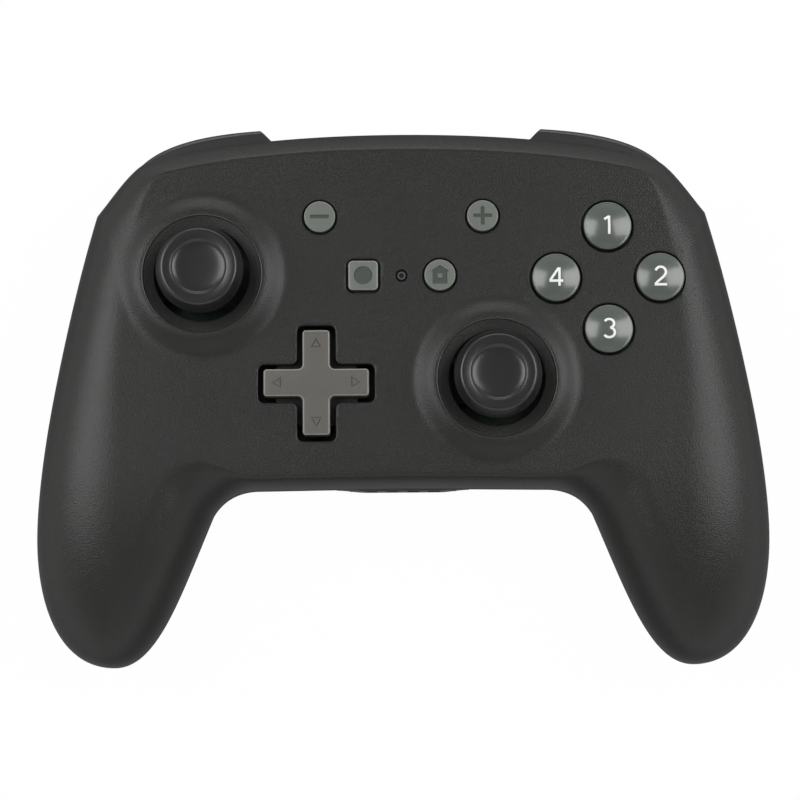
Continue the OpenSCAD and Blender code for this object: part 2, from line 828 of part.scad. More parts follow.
module stick_lever() {
  top = cap_z + cap_h - dish_depth - cap_wall - click - socket_gap;
  color(steel) {
    translate([0, 0, -yoke_t]) cylinder(h = yoke_t + top, r = lever_r);
    rotate([90, 0, 0]) cylinder(h = yoke_w - run_fit, r = cross_r, center = true);
  }
}

// The cap is turned: hub, dome, neck, flared side, raised rim and dish
module stick_cap() {
  bore = lever_r + run_fit;
  roof = cap_z + cap_h - dish_depth - cap_wall;
  dome_in_r = dome_r - dome_t;
  rim_r = dish_r + cap_rim;
  rim_z = cap_z + cap_h;
  edge = [rim_r + cap_bulge, rim_z - rim_round];
  dome_in = [for (a = [asin(hub_r/dome_in_r):dome_step:dome_angle]) dome_in_r*[sin(a), cos(a)]];
  dome_out = [for (a = [dome_angle:-dome_step:asin(neck_r/dome_r)]) dome_r*[sin(a), cos(a)]];
  side = curve([[cap_r - cap_flare, cap_z], [cap_r + cap_bulge, cap_z + cap_h/3],
    [cap_r - cap_taper, cap_z + cap_h/2], edge], cap_steps);
  rim = curve([edge, [rim_r, rim_z + rim_crown], [dish_r + cap_taper, rim_z + rim_crown],
    [dish_r, rim_z - dish_lip]], cap_steps);
  dish = [for (i = [0:cap_steps]) let (t = 1 - i/cap_steps)
    [dish_r*t, rim_z - dish_depth + (dish_depth - dish_lip)*t*t]];
  color(cap_grey) rotate_extrude() polygon(concat(
    [[0, roof], [bore, roof], [bore, hub_z], [hub_r, hub_z]], dome_in, dome_out,
    [[neck_r, cap_z + cap_wall], [cap_r - cap_under, cap_z + cap_bulge]], side, rim, dish));
}

// Directional cross

module dpad_cross() {
  z = inner_z - dpad_drop;
  color(button_grey) translate([dpad_x, dpad_y, 0]) difference() {
    union() {
      translate([0, 0, z - over]) linear_extrude(face_z + dpad_rise - z + over)
        cross_shape(dpad_span, dpad_w, arm_r);
      translate([0, 0, z - dpad_flange_t]) cylinder(h = dpad_flange_t, r = dpad_flange_r);
      translate([0, 0, ball_z + clear]) cylinder(h = z - ball_z - clear, r = ball_r + hub_out);
    }
    translate([0, 0, ball_z]) sphere(ball_r + run_fit);
  }
}

module dpad_ball() {
  color(steel) translate([dpad_x, dpad_y, ball_z]) sphere(ball_r);
}

module dpad_post() {
  color(plain_black) translate([dpad_x, dpad_y, 0]) difference() {
    translate([0, 0, board_top]) cylinder(h = ball_z - clear - board_top, r = ball_r + clear);
    translate([0, 0, ball_z]) sphere(ball_r + run_fit);
  }
}

module dpad_membrane() {
  pad_top = inner_z - dpad_drop - dpad_flange_t - clear;
  color(rubber_black) translate([dpad_x, dpad_y, board_top]) difference() {
    union() {
      cylinder(h = mat_t, r = dpad_mat_r);
      for (a = [0:90:270]) rotate(a) translate([pad_out, 0, 0])
        cylinder(h = pad_top - board_top, r1 = pad_foot_r, r2 = pad_r);
    }
    translate([0, 0, -over]) cylinder(h = mat_t + 2*over, r = ball_r + 2*clear);
  }
}

// Buttons

module face_button(angle) {
  z1 = inner_z - flange_drop;
  z0 = z1 - flange_t;
  stem_z = z0 - stem_l;
  top = face_z + face_rise;
  dome = [for (i = [0:edge_steps]) let (t = 1 - i/edge_steps)
    [(face_r - button_round)*t, top + face_dome*(1 - t*t)]];
  color(button_grey) translate([face_x, face_y, 0]) rotate(angle) translate([face_pitch, 0, 0])
    rotate_extrude() polygon(concat(
      [[0, stem_z], [stem_r, stem_z], [stem_r, z0], [face_r + flange_out, z0],
        [face_r + flange_out, z1], [face_r, z1], [face_r, top - button_round]], dome));
}

module face_membrane() {
  pad_top = inner_z - flange_drop - flange_t - stem_l - clear;
  color(rubber_black) translate([face_x, face_y, board_top]) {
    cylinder(h = mat_t, r = mat_core_r);
    for (a = [0:90:270]) rotate(a) translate([face_pitch, 0, 0]) {
      cylinder(h = mat_t, r = mat_r);
      cylinder(h = pad_top - board_top, r1 = dome_foot_r, r2 = stem_r);
    }
  }
}

module system_stem(flange_r) {
  z1 = inner_z - clear;
  stem_z = board_top + switch_h + plunger_h + system_travel + switch_gap;
  translate([0, 0, z1 - flange_t]) cylinder(h = flange_t, r = flange_r);
  translate([0, 0, stem_z]) cylinder(h = z1 - stem_z, r = system_stem_r);
}

module round_button(x, y) {
  z1 = inner_z - clear;
  color(button_grey) translate([x, y, 0]) {
    translate([0, 0, z1 - over]) cylinder(h = face_z + system_rise - z1 + over, r = system_r);
    system_stem(system_r + system_flange_out);
  }
}

module capture_button() {
  z1 = inner_z - clear;
  color(button_grey) translate([-menu_x, menu_y, 0]) {
    translate([0, 0, z1 - over]) linear_extrude(face_z + system_rise - z1 + over)
      rounded_square(capture_w, capture_w, corner_r);
    system_stem(capture_w/sqrt(2) + system_flange_out);
  }
}

module system_switches() {
  places = [[-sign_x, sign_y], [sign_x, sign_y], [-menu_x, menu_y], [menu_x, menu_y]];
  color(plain_black) for (p = places) translate([p.x, p.y, board_top]) {
    translate([-switch_w/2, -switch_w/2, 0]) cube([switch_w, switch_w, switch_h]);
    cylinder(h = switch_h + plunger_h, r = plunger_r);
  }
}

module status_light_pipe() {
  color(lamp_colour) translate([0, menu_y, 0]) {
    translate([0, 0, board_top]) cylinder(h = face_z - board_top, r = light_r);
    translate([0, 0, inner_z - light_flange_t - seat_fit])
      cylinder(h = light_flange_t, r = light_flange_r);
  }
}

// Shoulders: the frame has X along a trigger's pin, with its origin under the pin's middle

module shoulder_frame() {
  translate([trigger_x, trigger_y, 0]) rotate(-trigger_yaw) children();
}

// A point of the body in the shoulder frame
function in_frame(p) =
  let (d = p - [trigger_x, trigger_y], c = cos(trigger_yaw), s = sin(trigger_yaw))
  [d.x*c - d.y*s, d.x*s + d.y*c];

// A bumper's section, outwards and up from its outer lower edge, along the outer edge's curve.
// The first section leans at 45 degrees, and the others come square to the curve.
function bumper_rings(back, out, z0, z1, gaps) =
  let (tangent_in = bumper_bend_in/norm(bumper_bend_in),
    tangent_out = bumper_bend_out/norm(bumper_bend_out),
    p = [bumper_in - gaps[0]*tangent_in, bumper_in + bumper_bend_in,
      bumper_out + bumper_bend_out, bumper_out - gaps[1]*tangent_out],
    r = bumper_round,
    section = [[-back, z0], [out - r, z0], [out - r/4, z0 + r/4], [out, z0 + r],
      [out, z1 - r], [out - r/4, z1 - r/4], [out - r, z1], [-back, z1]])
  [for (i = [0:bumper_steps]) let (t = i/bumper_steps,
      d = bezier(p, min(1, t + curve_bit)) - bezier(p, max(0, t - curve_bit)),
      square_out = [-d.y, d.x]/norm(d),
      lean_out = mix([1, 1]/sqrt(2), square_out, ease(3*t)),
      o = bezier(p, t))
    [for (q = section) [o.x + q[0]*lean_out.x, o.y + q[0]*lean_out.y, q[1]]]];

module bumper_pocket() {
  skin(bumper_rings(bumper_depth + bumper_room, bumper_front, bracket_z - over,
    bumper_z + bumper_h + bumper_top_gap, bumper_gaps));
}

module bumper() {
  color(body_black) difference() {
    union() {
      skin(bumper_rings(bumper_depth, 0, bumper_z, bumper_z + bumper_h, [0, 0]));
      translate([bumper_pin.x, bumper_pin.y, bumper_z]) cylinder(h = bumper_h, r = bumper_boss_r);
    }
    translate([bumper_pin.x, bumper_pin.y, bumper_z - over])
      cylinder(h = bumper_h, r = bumper_pin_r + run_fit);
  }
}

module trigger_pocket() {
  half = trigger_w/2 + ear_gap + ear_t + pocket_room;
  translate([-half, -ear_r, -over]) cube([2*half, 6*ear_r, seam_z + 2*over]);
  translate([plate_in - 2*pocket_room, plate_back - clear, bracket_z - clear])
    cube([half - plate_in + 2*pocket_room, 6*ear_r, seam_z]);
}

// A trigger's section, with its finger face at a reach in front of the pin. The reach follows the
// bumper's edge: it falls towards the outer end in a bow.
function trigger_section(reach) =
  let (top = [reach - trigger_top_in, trigger_top],
    low = [reach - trigger_lip_in, trigger_lip_h - trigger_low],
    inner = low - [trigger_thick, trigger_lip_h/4])
  back_to_front(concat(
    curve([top, top + trigger_low*face_top_bend, low + trigger_low*face_low_bend, low], trigger_steps),
    curve([low, low + trigger_thick*lip_out_bend, inner + trigger_thick*lip_in_bend, inner],
      trigger_steps),
    curve([inner, inner + trigger_thick*back_low_bend, trigger_thick*back_top_bend, [0, -barrel_r]],
      trigger_steps),
    [[0, -barrel_r], [0, barrel_r], [trigger_back, trigger_top]]));
function trigger_ring(u) =
  [for (p = trigger_section(trigger_reach - trigger_fall*u - trigger_bow*u*u)) [u*trigger_w/2, p.x, p.y]];

module trigger() {
  color(body_black) translate([0, 0, trigger_z]) difference() {
    union() {
      skin([for (i = [0:trigger_rows]) trigger_ring(2*i/trigger_rows - 1)]);
      rotate([0, 90, 0]) cylinder(h = trigger_w, r = barrel_r, center = true);
      for (x = [-1, 1]) translate([x*(trigger_w/2 - tail_w/2) - tail_w/2, -tail_l, -tail_t/2])
        cube([tail_w, tail_l, tail_t]);
    }
    rotate([0, 90, 0]) cylinder(h = 2*trigger_w, r = trigger_pin_r + run_fit, center = true);
    rotate([0, 90, 0]) cylinder(h = barrel_gap, r = barrel_r + clear, center = true);
  }
}

module bracket() {
  at = in_frame(screw_at[0]);
  pin = in_frame(bumper_pin);
  x1 = trigger_w/2 + ear_gap + ear_t;
  difference() {
    union() {
      translate([plate_in, plate_back, bracket_z])
        cube([x1 - plate_in, plate_front - plate_back, bracket_t]);
      translate([at.x, at.y - boss_r, bracket_z])
        cube([plate_in - at.x + over, 2*boss_r, bracket_t]);
      translate([at.x, at.y, bracket_z]) cylinder(h = seam_z - boss_gap - bracket_z, r = boss_r);
      translate([pin.x, pin.y, bracket_z])
        cylinder(h = bumper_z + bumper_h - over - clear - bracket_z, r = bumper_pin_r);
      for (x = [-x1, x1 - ear_t]) translate([x, 0, 0]) {
        translate([0, -ear_r, trigger_z]) cube([ear_t, 2*ear_r, bracket_z + bracket_t - trigger_z]);
        translate([0, 0, trigger_z]) rotate([0, 90, 0]) cylinder(h = ear_t, r = ear_r);
      }
    }
    translate([at.x, at.y, bracket_z - over]) cylinder(h = seam_z, r = screw_r + shank_gap);
    translate([0, 0, trigger_z]) rotate([0, 90, 0])
      cylinder(h = 4*x1, r = trigger_pin_r + seat_fit, center = true);
  }
}

module shoulder_brackets() {
  color(plain_black) both_sides() shoulder_frame() bracket();
}

module trigger_pins() {
  l = trigger_w + 2*(ear_gap + ear_t + pin_end);
  color(steel) both_sides() shoulder_frame() translate([0, 0, trigger_z]) rotate([0, 90, 0])
    cylinder(h = l, r = trigger_pin_r, center = true);
}

module trigger_springs() {
  l = barrel_gap - 2*clear;
  color(steel) both_sides() shoulder_frame() translate([0, 0, trigger_z]) rotate([0, 90, 0])
    difference() {
      cylinder(h = l, r = spring_coil_r, center = true);
      cylinder(h = 2*l, r = trigger_pin_r + run_fit, center = true);
    }
}

// One switch behind the bumper on each bracket, and one under it above each trigger's tails
module shoulder_switches() {
  w = shoulder_switch_w;
  t = shoulder_switch_t;
  color(plain_black) both_sides() shoulder_frame() {
    translate([0, bumper_switch_y, bracket_top]) cube([w, t, shoulder_switch_h]);
    translate([trigger_w/2 - tail_w/2 - w/2, trigger_switch_in - tail_l, bracket_z - t])
      cube([w, t, t]);
  }
}

// Player lights

// Y of the strip's front, which stands out in the middle and runs out into the shell at both ends
function strip_front(x) =
  bottom_y + strip_in - (strip_in + strip_out)*ease((strip_l/2 - abs(x))/strip_run);

module player_light_strip() {
  half = strip_l/2;
  front = [for (i = [0:strip_steps]) let (x = mix(-half, half, i/strip_steps)) [x, strip_front(x)]];
  back = [[half, bottom_y + strip_back], [-half, bottom_y + strip_back]];
  color(button_grey) difference() {
    union() {
      translate([0, 0, strip_z - strip_h/2]) linear_extrude(strip_h) polygon(concat(front, back));
      translate([0, bottom_y + wall, strip_z])
        cube([strip_l - 2*plug_end, 2*wall, strip_h - 2*plug_side], center = true);
    }
    lamp_places() cube([lamp_l + 2*seat_fit, 2*lamp_t, lamp_h + 2*seat_fit], center = true);
  }
}

module lamp_places() {
  for (i = [-1.5:1:1.5]) translate([i*lamp_pitch, bottom_y - strip_out, strip_z]) children();
}

module player_light_lamps() {
  color(lamp_colour) lamp_places() translate([-lamp_l/2, lamp_sink, -lamp_h/2])
    cube([lamp_l, lamp_t - lamp_sink, lamp_h]);
}

front_shell();
rear_shell();
battery_door();
battery_tray();
battery_cells();
battery_contacts();
main_board();
case_screws();
shoulder_brackets();
trigger_pins();
trigger_springs();
shoulder_switches();
mirror([1, 0, 0]) bumper();  // left_bumper
bumper();  // right_bumper
mirror([1, 0, 0]) shoulder_frame() trigger();  // left_trigger
shoulder_frame() trigger();  // right_trigger
at_stick(-1) stick_housing();  // left_stick_housing
at_stick(-1) stick_sensors();  // left_stick_sensors
at_stick(-1) stick_yoke();  // left_stick_yoke
at_stick(-1) stick_lever();  // left_stick_lever
at_stick(-1) stick_cap();  // left_stick_cap
at_stick(1) stick_housing();  // right_stick_housing
at_stick(1) stick_sensors();  // right_stick_sensors
at_stick(1) stick_yoke();  // right_stick_yoke
at_stick(1) stick_lever();  // right_stick_lever
at_stick(1) stick_cap();  // right_stick_cap
dpad_cross();
dpad_ball();
dpad_post();
dpad_membrane();
face_button(90);  // face_button_top
face_button(0);  // face_button_right
face_button(270);  // face_button_bottom
face_button(180);  // face_button_left
face_membrane();
round_button(-sign_x, sign_y);  // minus_button
round_button(sign_x, sign_y);  // plus_button
capture_button();
round_button(menu_x, menu_y);  // home_button
system_switches();
status_light_pipe();
player_light_strip();
player_light_lamps();
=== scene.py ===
import math

import bpy
import numpy as np
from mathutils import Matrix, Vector


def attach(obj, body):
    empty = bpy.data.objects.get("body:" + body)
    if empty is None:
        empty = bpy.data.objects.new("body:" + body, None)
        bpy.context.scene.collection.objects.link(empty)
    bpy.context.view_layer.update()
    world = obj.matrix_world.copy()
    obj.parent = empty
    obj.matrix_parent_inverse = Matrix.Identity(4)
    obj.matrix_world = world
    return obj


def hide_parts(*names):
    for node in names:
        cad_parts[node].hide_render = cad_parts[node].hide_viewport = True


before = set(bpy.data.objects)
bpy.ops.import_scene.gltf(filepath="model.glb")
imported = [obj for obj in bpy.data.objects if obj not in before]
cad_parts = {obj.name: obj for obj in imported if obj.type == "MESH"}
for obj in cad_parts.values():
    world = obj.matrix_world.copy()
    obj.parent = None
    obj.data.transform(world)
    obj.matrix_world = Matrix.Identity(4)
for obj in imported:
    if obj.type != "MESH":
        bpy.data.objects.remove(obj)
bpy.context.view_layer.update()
scene = bpy.context.scene
scene.view_settings.view_transform = "Standard"


# Stage: a pale floor with a painted shadow that shows in reflections as a dim pool near the object, a
# white surround that is dimmer overhead, and soft boxes: large ones high to the left and right, weak ones
# low behind the shoulders and in front. The camera looks down on the face, a little from the grips' side.
def softbox(name, place, aim, width, height, power):
    """A rectangular lamp at a place, turned to face a point."""
    lamp = bpy.data.lights.new(name, "AREA")
    lamp.shape = "RECTANGLE"
    lamp.size, lamp.size_y, lamp.energy = width, height, power
    obj = bpy.data.objects.new(name, lamp)
    obj.location = place
    obj.rotation_euler = (Vector(aim) - Vector(place)).to_track_quat("-Z", "Y").to_euler()
    scene.collection.objects.link(obj)


FACE_MIDDLE, SIDE_POWER = (0, 0, 0.03), 6.4
softbox("lamp_right", (0.629, 0.134, 0.796), FACE_MIDDLE, 0.6, 0.75, SIDE_POWER)
softbox("lamp_left", (-0.629, 0.134, 0.796), FACE_MIDDLE, 0.6, 0.75, SIDE_POWER)
softbox("lamp_shoulders", (0.0, 0.94, 0.37), FACE_MIDDLE, 0.8, 0.3, 2.0)
softbox("lamp_front", (0.0, -0.707, 0.737), FACE_MIDDLE, 0.7, 0.5, 0.6)


def maths(tree, how, a, b):
    """A maths node on two values, each a number or another node's output."""
    node = tree.nodes.new("ShaderNodeMath")
    node.operation = how
    for socket, value in zip(node.inputs, (a, b)):
        if isinstance(value, (int, float)):
            socket.default_value = value
        else:
            tree.links.new(value, socket)
    return node.outputs[0]


def rays(tree):
    """Two masks of light paths: the camera's own, and those of a gloss or through a clear body."""
    path = tree.nodes.new("ShaderNodeLightPath")
    gloss, clear_body = path.outputs["Is Glossy Ray"], path.outputs["Is Transmission Ray"]
    return path.outputs["Is Camera Ray"], maths(tree, "MAXIMUM", gloss, clear_body)


def ramp(tree, value, start, stop, low, high):
    """A smooth change from one number to another while a value goes from start to stop."""
    node = tree.nodes.new("ShaderNodeMapRange")
    node.interpolation_type = "SMOOTHSTEP"
    for label, number in (("From Min", start), ("From Max", stop), ("To Min", low), ("To Max", high)):
        node.inputs[label].default_value = number
    tree.links.new(value, node.inputs["Value"])
    return node.outputs["Result"]


surround = bpy.data.worlds.new("surround")
scene.world = surround
surround.use_nodes = True
nt = surround.node_tree
nt.nodes.clear()
out = nt.nodes.new("ShaderNodeOutputWorld")
ambient = nt.nodes.new("ShaderNodeBackground")
ambient.inputs["Color"].default_value = (1, 1, 1, 1)
ambient.inputs["Strength"].default_value = 0.12
seen = nt.nodes.new("ShaderNodeBackground")
seen.inputs["Color"].default_value = (1, 1, 1, 1)
way = nt.nodes.new("ShaderNodeTexCoord")
upward = nt.nodes.new("ShaderNodeSeparateXYZ")
straight_on, reflected = rays(nt)
nt.links.new(way.outputs["Generated"], upward.inputs[0])
dimmed = ramp(nt, upward.outputs["Z"], 0.3, 0.8, 1.0, 0.3)
nt.links.new(maths(nt, "MAXIMUM", dimmed, straight_on), seen.inputs["Strength"])
choose = nt.nodes.new("ShaderNodeMixShader")
nt.links.new(maths(nt, "MAXIMUM", straight_on, reflected), choose.inputs["Fac"])
nt.links.new(ambient.outputs[0], choose.inputs[1])
nt.links.new(seen.outputs[0], choose.inputs[2])
nt.links.new(choose.outputs[0], out.inputs["Surface"])

floor_mesh = bpy.data.meshes.new("floor")
HALF, BELOW = 4.0, -0.0003
floor_mesh.from_pydata([(-HALF, -HALF, BELOW), (HALF, -HALF, BELOW), (HALF, HALF, BELOW), (-HALF, HALF, BELOW)],
                       [], [(0, 1, 2, 3)])
floor = bpy.data.objects.new("floor", floor_mesh)
scene.collection.objects.link(floor)
pale = bpy.data.materials.new("pale_floor")
pale.use_nodes = True
nt = pale.node_tree
nt.nodes.clear()
out = nt.nodes.new("ShaderNodeOutputMaterial")
matte = nt.nodes.new("ShaderNodeBsdfDiffuse")
matte.inputs["Color"].default_value = (0.8, 0.8, 0.8, 1)
glow = nt.nodes.new("ShaderNodeEmission")
straight_on, reflected = rays(nt)
spot = nt.nodes.new("ShaderNodeTexCoord")
far = nt.nodes.new("ShaderNodeVectorMath")
far.operation = "LENGTH"
nt.links.new(spot.outputs["Object"], far.inputs[0])
# Painted shadow: the floor's glow in reflections is dimmed near the object, as if in its shadow.
painted_shadow_pool = ramp(nt, far.outputs["Value"], 0.08, 0.24, 0.2, 1.0)
nt.links.new(maths(nt, "MAXIMUM", straight_on, painted_shadow_pool), glow.inputs["Strength"])
choose = nt.nodes.new("ShaderNodeMixShader")
clear = nt.nodes.new("ShaderNodeBsdfTransparent")
side = nt.nodes.new("ShaderNodeNewGeometry")
under = nt.nodes.new("ShaderNodeMixShader")
white_share = maths(nt, "MULTIPLY", straight_on, 0.985)
nt.links.new(maths(nt, "MAXIMUM", white_share, reflected), choose.inputs["Fac"])
nt.links.new(matte.outputs[0], choose.inputs[1])
nt.links.new(glow.outputs[0], choose.inputs[2])
nt.links.new(side.outputs["Backfacing"], under.inputs["Fac"])
nt.links.new(choose.outputs[0], under.inputs[1])
nt.links.new(clear.outputs[0], under.inputs[2])
nt.links.new(under.outputs[0], out.inputs["Surface"])
floor_mesh.materials.append(pale)

TILT, ROLL, DISTANCE = math.radians(6.5), math.radians(-0.41), 0.6
AIM = Vector((0, -0.018, 0.03))
cam = bpy.data.cameras.new("camera")
cam.sensor_width = 36.0
cam.lens = 36.0 * 2910 / 800
cam.shift_x = -2.4 / 800
camera = bpy.data.objects.new("camera", cam)
camera.rotation_euler = (TILT, 0, ROLL)
camera.location = AIM + camera.rotation_euler.to_matrix() @ Vector((0, 0, DISTANCE))
scene.collection.objects.link(camera)
scene.camera = camera


# Front shell: the moulded upper half of the case in finely grained black plastic, held to the rear
# shell by screws from behind. Its face is flat, with a chamfer along the top edge, sides that roll
# down and a raised ring round each stick.
def mix(a, b, t):
    """The value a share t of the way from a to b."""
    return a + (b - a) * t


def ease(t):
    """A smooth step from 0 to 1."""
    u = np.clip(t, 0, 1)
    return u * u * (3 - 2 * u)


def bezier(p, n, closed=False):
    """Points at n equal steps along a cubic curve through its first and last control points."""
    t = np.linspace(0, 1, n + 1)[: n + 1 if closed else n, None]
    p = np.asarray(p, float)
    return (1 - t) ** 3 * p[0] + 3 * t * (1 - t) ** 2 * p[1] + 3 * t * t * (1 - t) * p[2] + t**3 * p[3]


def rise(t, p):
    """Height of a rounded edge: a superellipse of power p that starts upright and ends level."""
    t = np.clip(t, 0, 1)
    return (1 - (1 - t) ** p) ** (1 / p)


def piece(name, verts, faces, smooth=35):
    """A mesh object from points in millimetres, smooth except across edges sharper than an angle."""
    mesh = bpy.data.meshes.new(name)
    mesh.from_pydata((np.asarray(verts) * 0.001).tolist(), [], faces)
    mesh.update()
    mesh.shade_smooth()
    mesh.set_sharp_from_angle(angle=math.radians(smooth))
    obj = bpy.data.objects.new(name, mesh)
    scene.collection.objects.link(obj)
    return obj


def skin(rings, tips=None):
    """Points and faces of a closed surface over a row of closed rings, rounds x points x 3.
    It ends at one point beyond each end ring, or at the end rings themselves."""
    n, m = rings.shape[:2]
    a = (np.arange(n - 1)[:, None] * m + np.arange(m)).ravel()
    b = (np.arange(n - 1)[:, None] * m + (np.arange(m) + 1) % m).ravel()
    faces = np.concatenate([np.stack([a, b, a + m], 1), np.stack([b, b + m, a + m], 1)]).tolist()
    verts = rings.reshape(-1, 3)
    i = np.arange(m)
    k = (i + 1) % m
    if tips is None:
        return verts, faces + [i[::-1].tolist(), ((n - 1) * m + i).tolist()]
    verts = np.vstack([verts, tips])
    first = np.stack([k, i, np.full(m, n * m)], 1).tolist()
    final = np.stack([(n - 1) * m + i, (n - 1) * m + k, np.full(m, n * m + 1)], 1).tolist()
    return verts, faces + first + final


def turned(profile, centre=(0, 0, 0), n=96):
    """Points and faces of a body turned about the vertical: rows of radius and height from the
    lower end of the axis to the upper end, outside on the right."""
    profile = np.asarray(profile, float)
    a = np.linspace(0, 2 * np.pi, n, endpoint=False)
    rings = np.stack([np.outer(profile[1:-1, 0], np.cos(a)), np.outer(profile[1:-1, 0], np.sin(a)),
                      np.repeat(profile[1:-1, 1:2], n, 1)], 2)
    tips = np.array([[0, 0, profile[0, 1]], [0, 0, profile[-1, 1]]])
    verts, faces = skin(rings, tips)
    return verts + np.asarray(centre, float), faces


def joined(parts):
    """Several point and face lists as one."""
    verts, faces, start = [], [], 0
    for v, f in parts:
        verts.append(v)
        faces += [[i + start for i in face] for face in f]
        start += len(v)
    return np.vstack(verts), faces


def cut(obj, parts, smooth=35, add=False):
    """Takes closed bodies out of a piece, or adds them to it. They are a spare piece, which goes, or
    a list of point and face lists."""
    tool = piece("tool", *joined(parts)) if isinstance(parts, list) else parts
    step = obj.modifiers.new("cut", "BOOLEAN")
    step.operation = "UNION" if add else "DIFFERENCE"
    step.solver = "EXACT"
    step.object = tool
    graph = bpy.context.evaluated_depsgraph_get()
    mesh = bpy.data.meshes.new_from_object(obj.evaluated_get(graph))
    obj.modifiers.clear()
    old = obj.data
    obj.data = mesh
    bpy.data.meshes.remove(old)
    bpy.data.objects.remove(tool)
    mesh.shade_smooth()
    mesh.set_sharp_from_angle(angle=math.radians(smooth))
    return obj


FINE = 6
WALL, LEAN, FACE, SEAM, TIP_SEAM, DROP = 2.2, 1.1, 34.0, 21.0, 13.0, 9.0
tip, widest, shoulder, corner = np.array([[60.9, -72.3], [76.5, -46.7], [63.7, 21.9], [53.5, 31.9]])
crotch, waist, top_mid, low_mid = np.array([[39.7, -40.8], [30.7, -35.7], [0, 37.6], [0, -35.4]])
outer = np.vstack([
    bezier([top_mid, top_mid + [21.6, 0], corner + [-12.2, 3.7], corner], 10 * FINE),
    bezier([corner, corner + [3.35, -1.55], shoulder + [-3.15, 3.45], shoulder], 3 * FINE),
    bezier([shoulder, shoulder + [3.5, -9.7], widest + [0, 17.7], widest], 6 * FINE),
    bezier([widest, widest + [0, -16.3], tip + [9.2, 0], tip], 10 * FINE)])
inner = np.vstack([
    bezier([low_mid, low_mid + [10, 0], waist + [-9.6, 0.1], waist], 10 * FINE),
    bezier([waist, waist + [3.8, -0.2], crotch + [-2.1, 3.4], crotch], 7 * FINE),
    bezier([crotch, crotch + [7.45, -16.9], tip + [-8.9, 0], tip], 12 * FINE)])
place = np.arange(len(outer))[:, None] / FINE
top_share = 1 - ease((place - 9) / 5)
low_share = 1 - ease((place - 10) / 7)
length = np.linalg.norm(inner - outer, axis=1)[:, None]


def seam_at(y):
    """Height of the seam between the shells, which falls along the grips."""
    return mix(SEAM, TIP_SEAM, ease((-18 - y) / (-18 - tip[1])))


def face_at(y):
    """Height of the face, which falls along the grips."""
    return FACE - DROP * np.clip((-30 - y) / (-30 - tip[1]), 0, None) ** 2


def ribs(inset, width_out, width_in, edge, middle):
    """Places along each rib from the outer edge to the inner edge, closer together at the edges.
    Gives the distance along the rib, the point over the plan and the height of the seam."""
    free = length - 2 * inset
    a, b = np.minimum(width_out, free * 0.48), np.minimum(width_in, free * 0.48)
    q = 1 - np.cos(np.linspace(0, np.pi / 2, edge + 1))[None]
    m = np.linspace(0, 1, middle + 2)[None, 1:-1]
    s = np.concatenate([inset + a * q, inset + a + (free - a - b) * m, length - inset - b * q[:, ::-1]], 1)
    t = (s / length)[:, :, None]
    plan = outer[:, None] * (1 - t) + inner[:, None] * t
    seam = mix(seam_at(outer[:, 1:2]), seam_at(inner[:, 1:2]), s / length)
    return s, plan, seam


def rings_of(plan, height, foot):
    """Closed rings across the ribs: along the surface, then straight back at the foot's height."""
    top = np.concatenate([plan, height[:, :, None]], 2)
    ends = np.stack([np.concatenate([plan[:, 0], foot[:, :1]], 1),
                     np.concatenate([plan[:, -1], foot[:, -1:]], 1)], 1)
    return np.concatenate([ends[:, :1], top, ends[:, 1:]], 1)


def mirrored(rings):
    """The rows of ribs of both halves, from the left tip to the right tip."""
    return np.concatenate([rings[:0:-1] * [-1, 1, 1], rings])


HOLE, CREST, CREST_H, RING = 9.8, 12.2, 1.8, 17.6
STICKS = {"left": np.array([-41.0, 7.7]), "right": np.array([19.4, -14.2])}


def front_skin(inset, thick, foot, edge, middle, rows, rings_round_sticks):
    """The front shell's outer surface, or its hollow when it is drawn in by the wall."""
    w_out, w_in = mix(18, 3.8, top_share), mix(12, 2, low_share)
    s, plan, seam = ribs(inset, w_out, w_in, edge, middle)
    h = face_at(plan[:, :, 1]) - thick - seam
    rim_out = np.maximum(mix(0.8, 9, top_share) - thick, 0.4) / h
    rim_in = np.maximum(mix(0.8, 3, low_share) - thick, 0.4) / h
    e_out = rise((s - inset) / w_out, mix(2.2, 1.15, top_share**2))
    e_in = rise((length - inset - s) / w_in, 2.2)
    z = seam + h * (rim_out + (1 - rim_out) * e_out) * (rim_in + (1 - rim_in) * e_in)
    rings = mirrored(rings_of(plan, z, seam + foot)[:rows])
    if rings_round_sticks:
        for c in STICKS.values():
            r = np.linalg.norm(rings[:, 1:-1, :2] - c, axis=2)
            t = np.clip((r - CREST - 0.2) / (RING - CREST - 0.2), 0, 1)
            rings[:, 1:-1, 2] = mix(rings[:, 1:-1, 2], FACE + CREST_H, (1 + np.cos(np.pi * t)) / 2)
    return rings


tips = np.array([[-tip[0], tip[1], TIP_SEAM + 0.1], [tip[0], tip[1], TIP_SEAM + 0.1]])
front = piece("front_case", *skin(front_skin(0, 0, 0.1, 24, 90, len(outer), True), tips))
hollow = skin(front_skin(WALL * LEAN, WALL, -1, 10, 20, len(outer) - 2 * FINE, False))
cut(front, [hollow])

FACE_BUTTONS = np.array([42.5, 6.6]) + 10.7 * np.array([[0, 1], [1, 0], [0, -1], [-1, 0]])
SIGN, MENU, CROSS = np.array([16.8, 19.6]), np.array([7.9, 7.3]), np.array([-17.6, -14.9])


def hole(radius, x, y, soft=0.3):
    """A round hole through the face with a softly rounded mouth."""
    a = np.linspace(0, np.pi / 2, 7)
    mouth = np.stack([radius + soft * (1 - np.cos(a)), FACE - soft + soft * np.sin(a)], 1)
    return turned(np.vstack([[0, 28], [radius, 28], mouth, [radius + soft, 40], [0, 40]]), (x, y, 0))


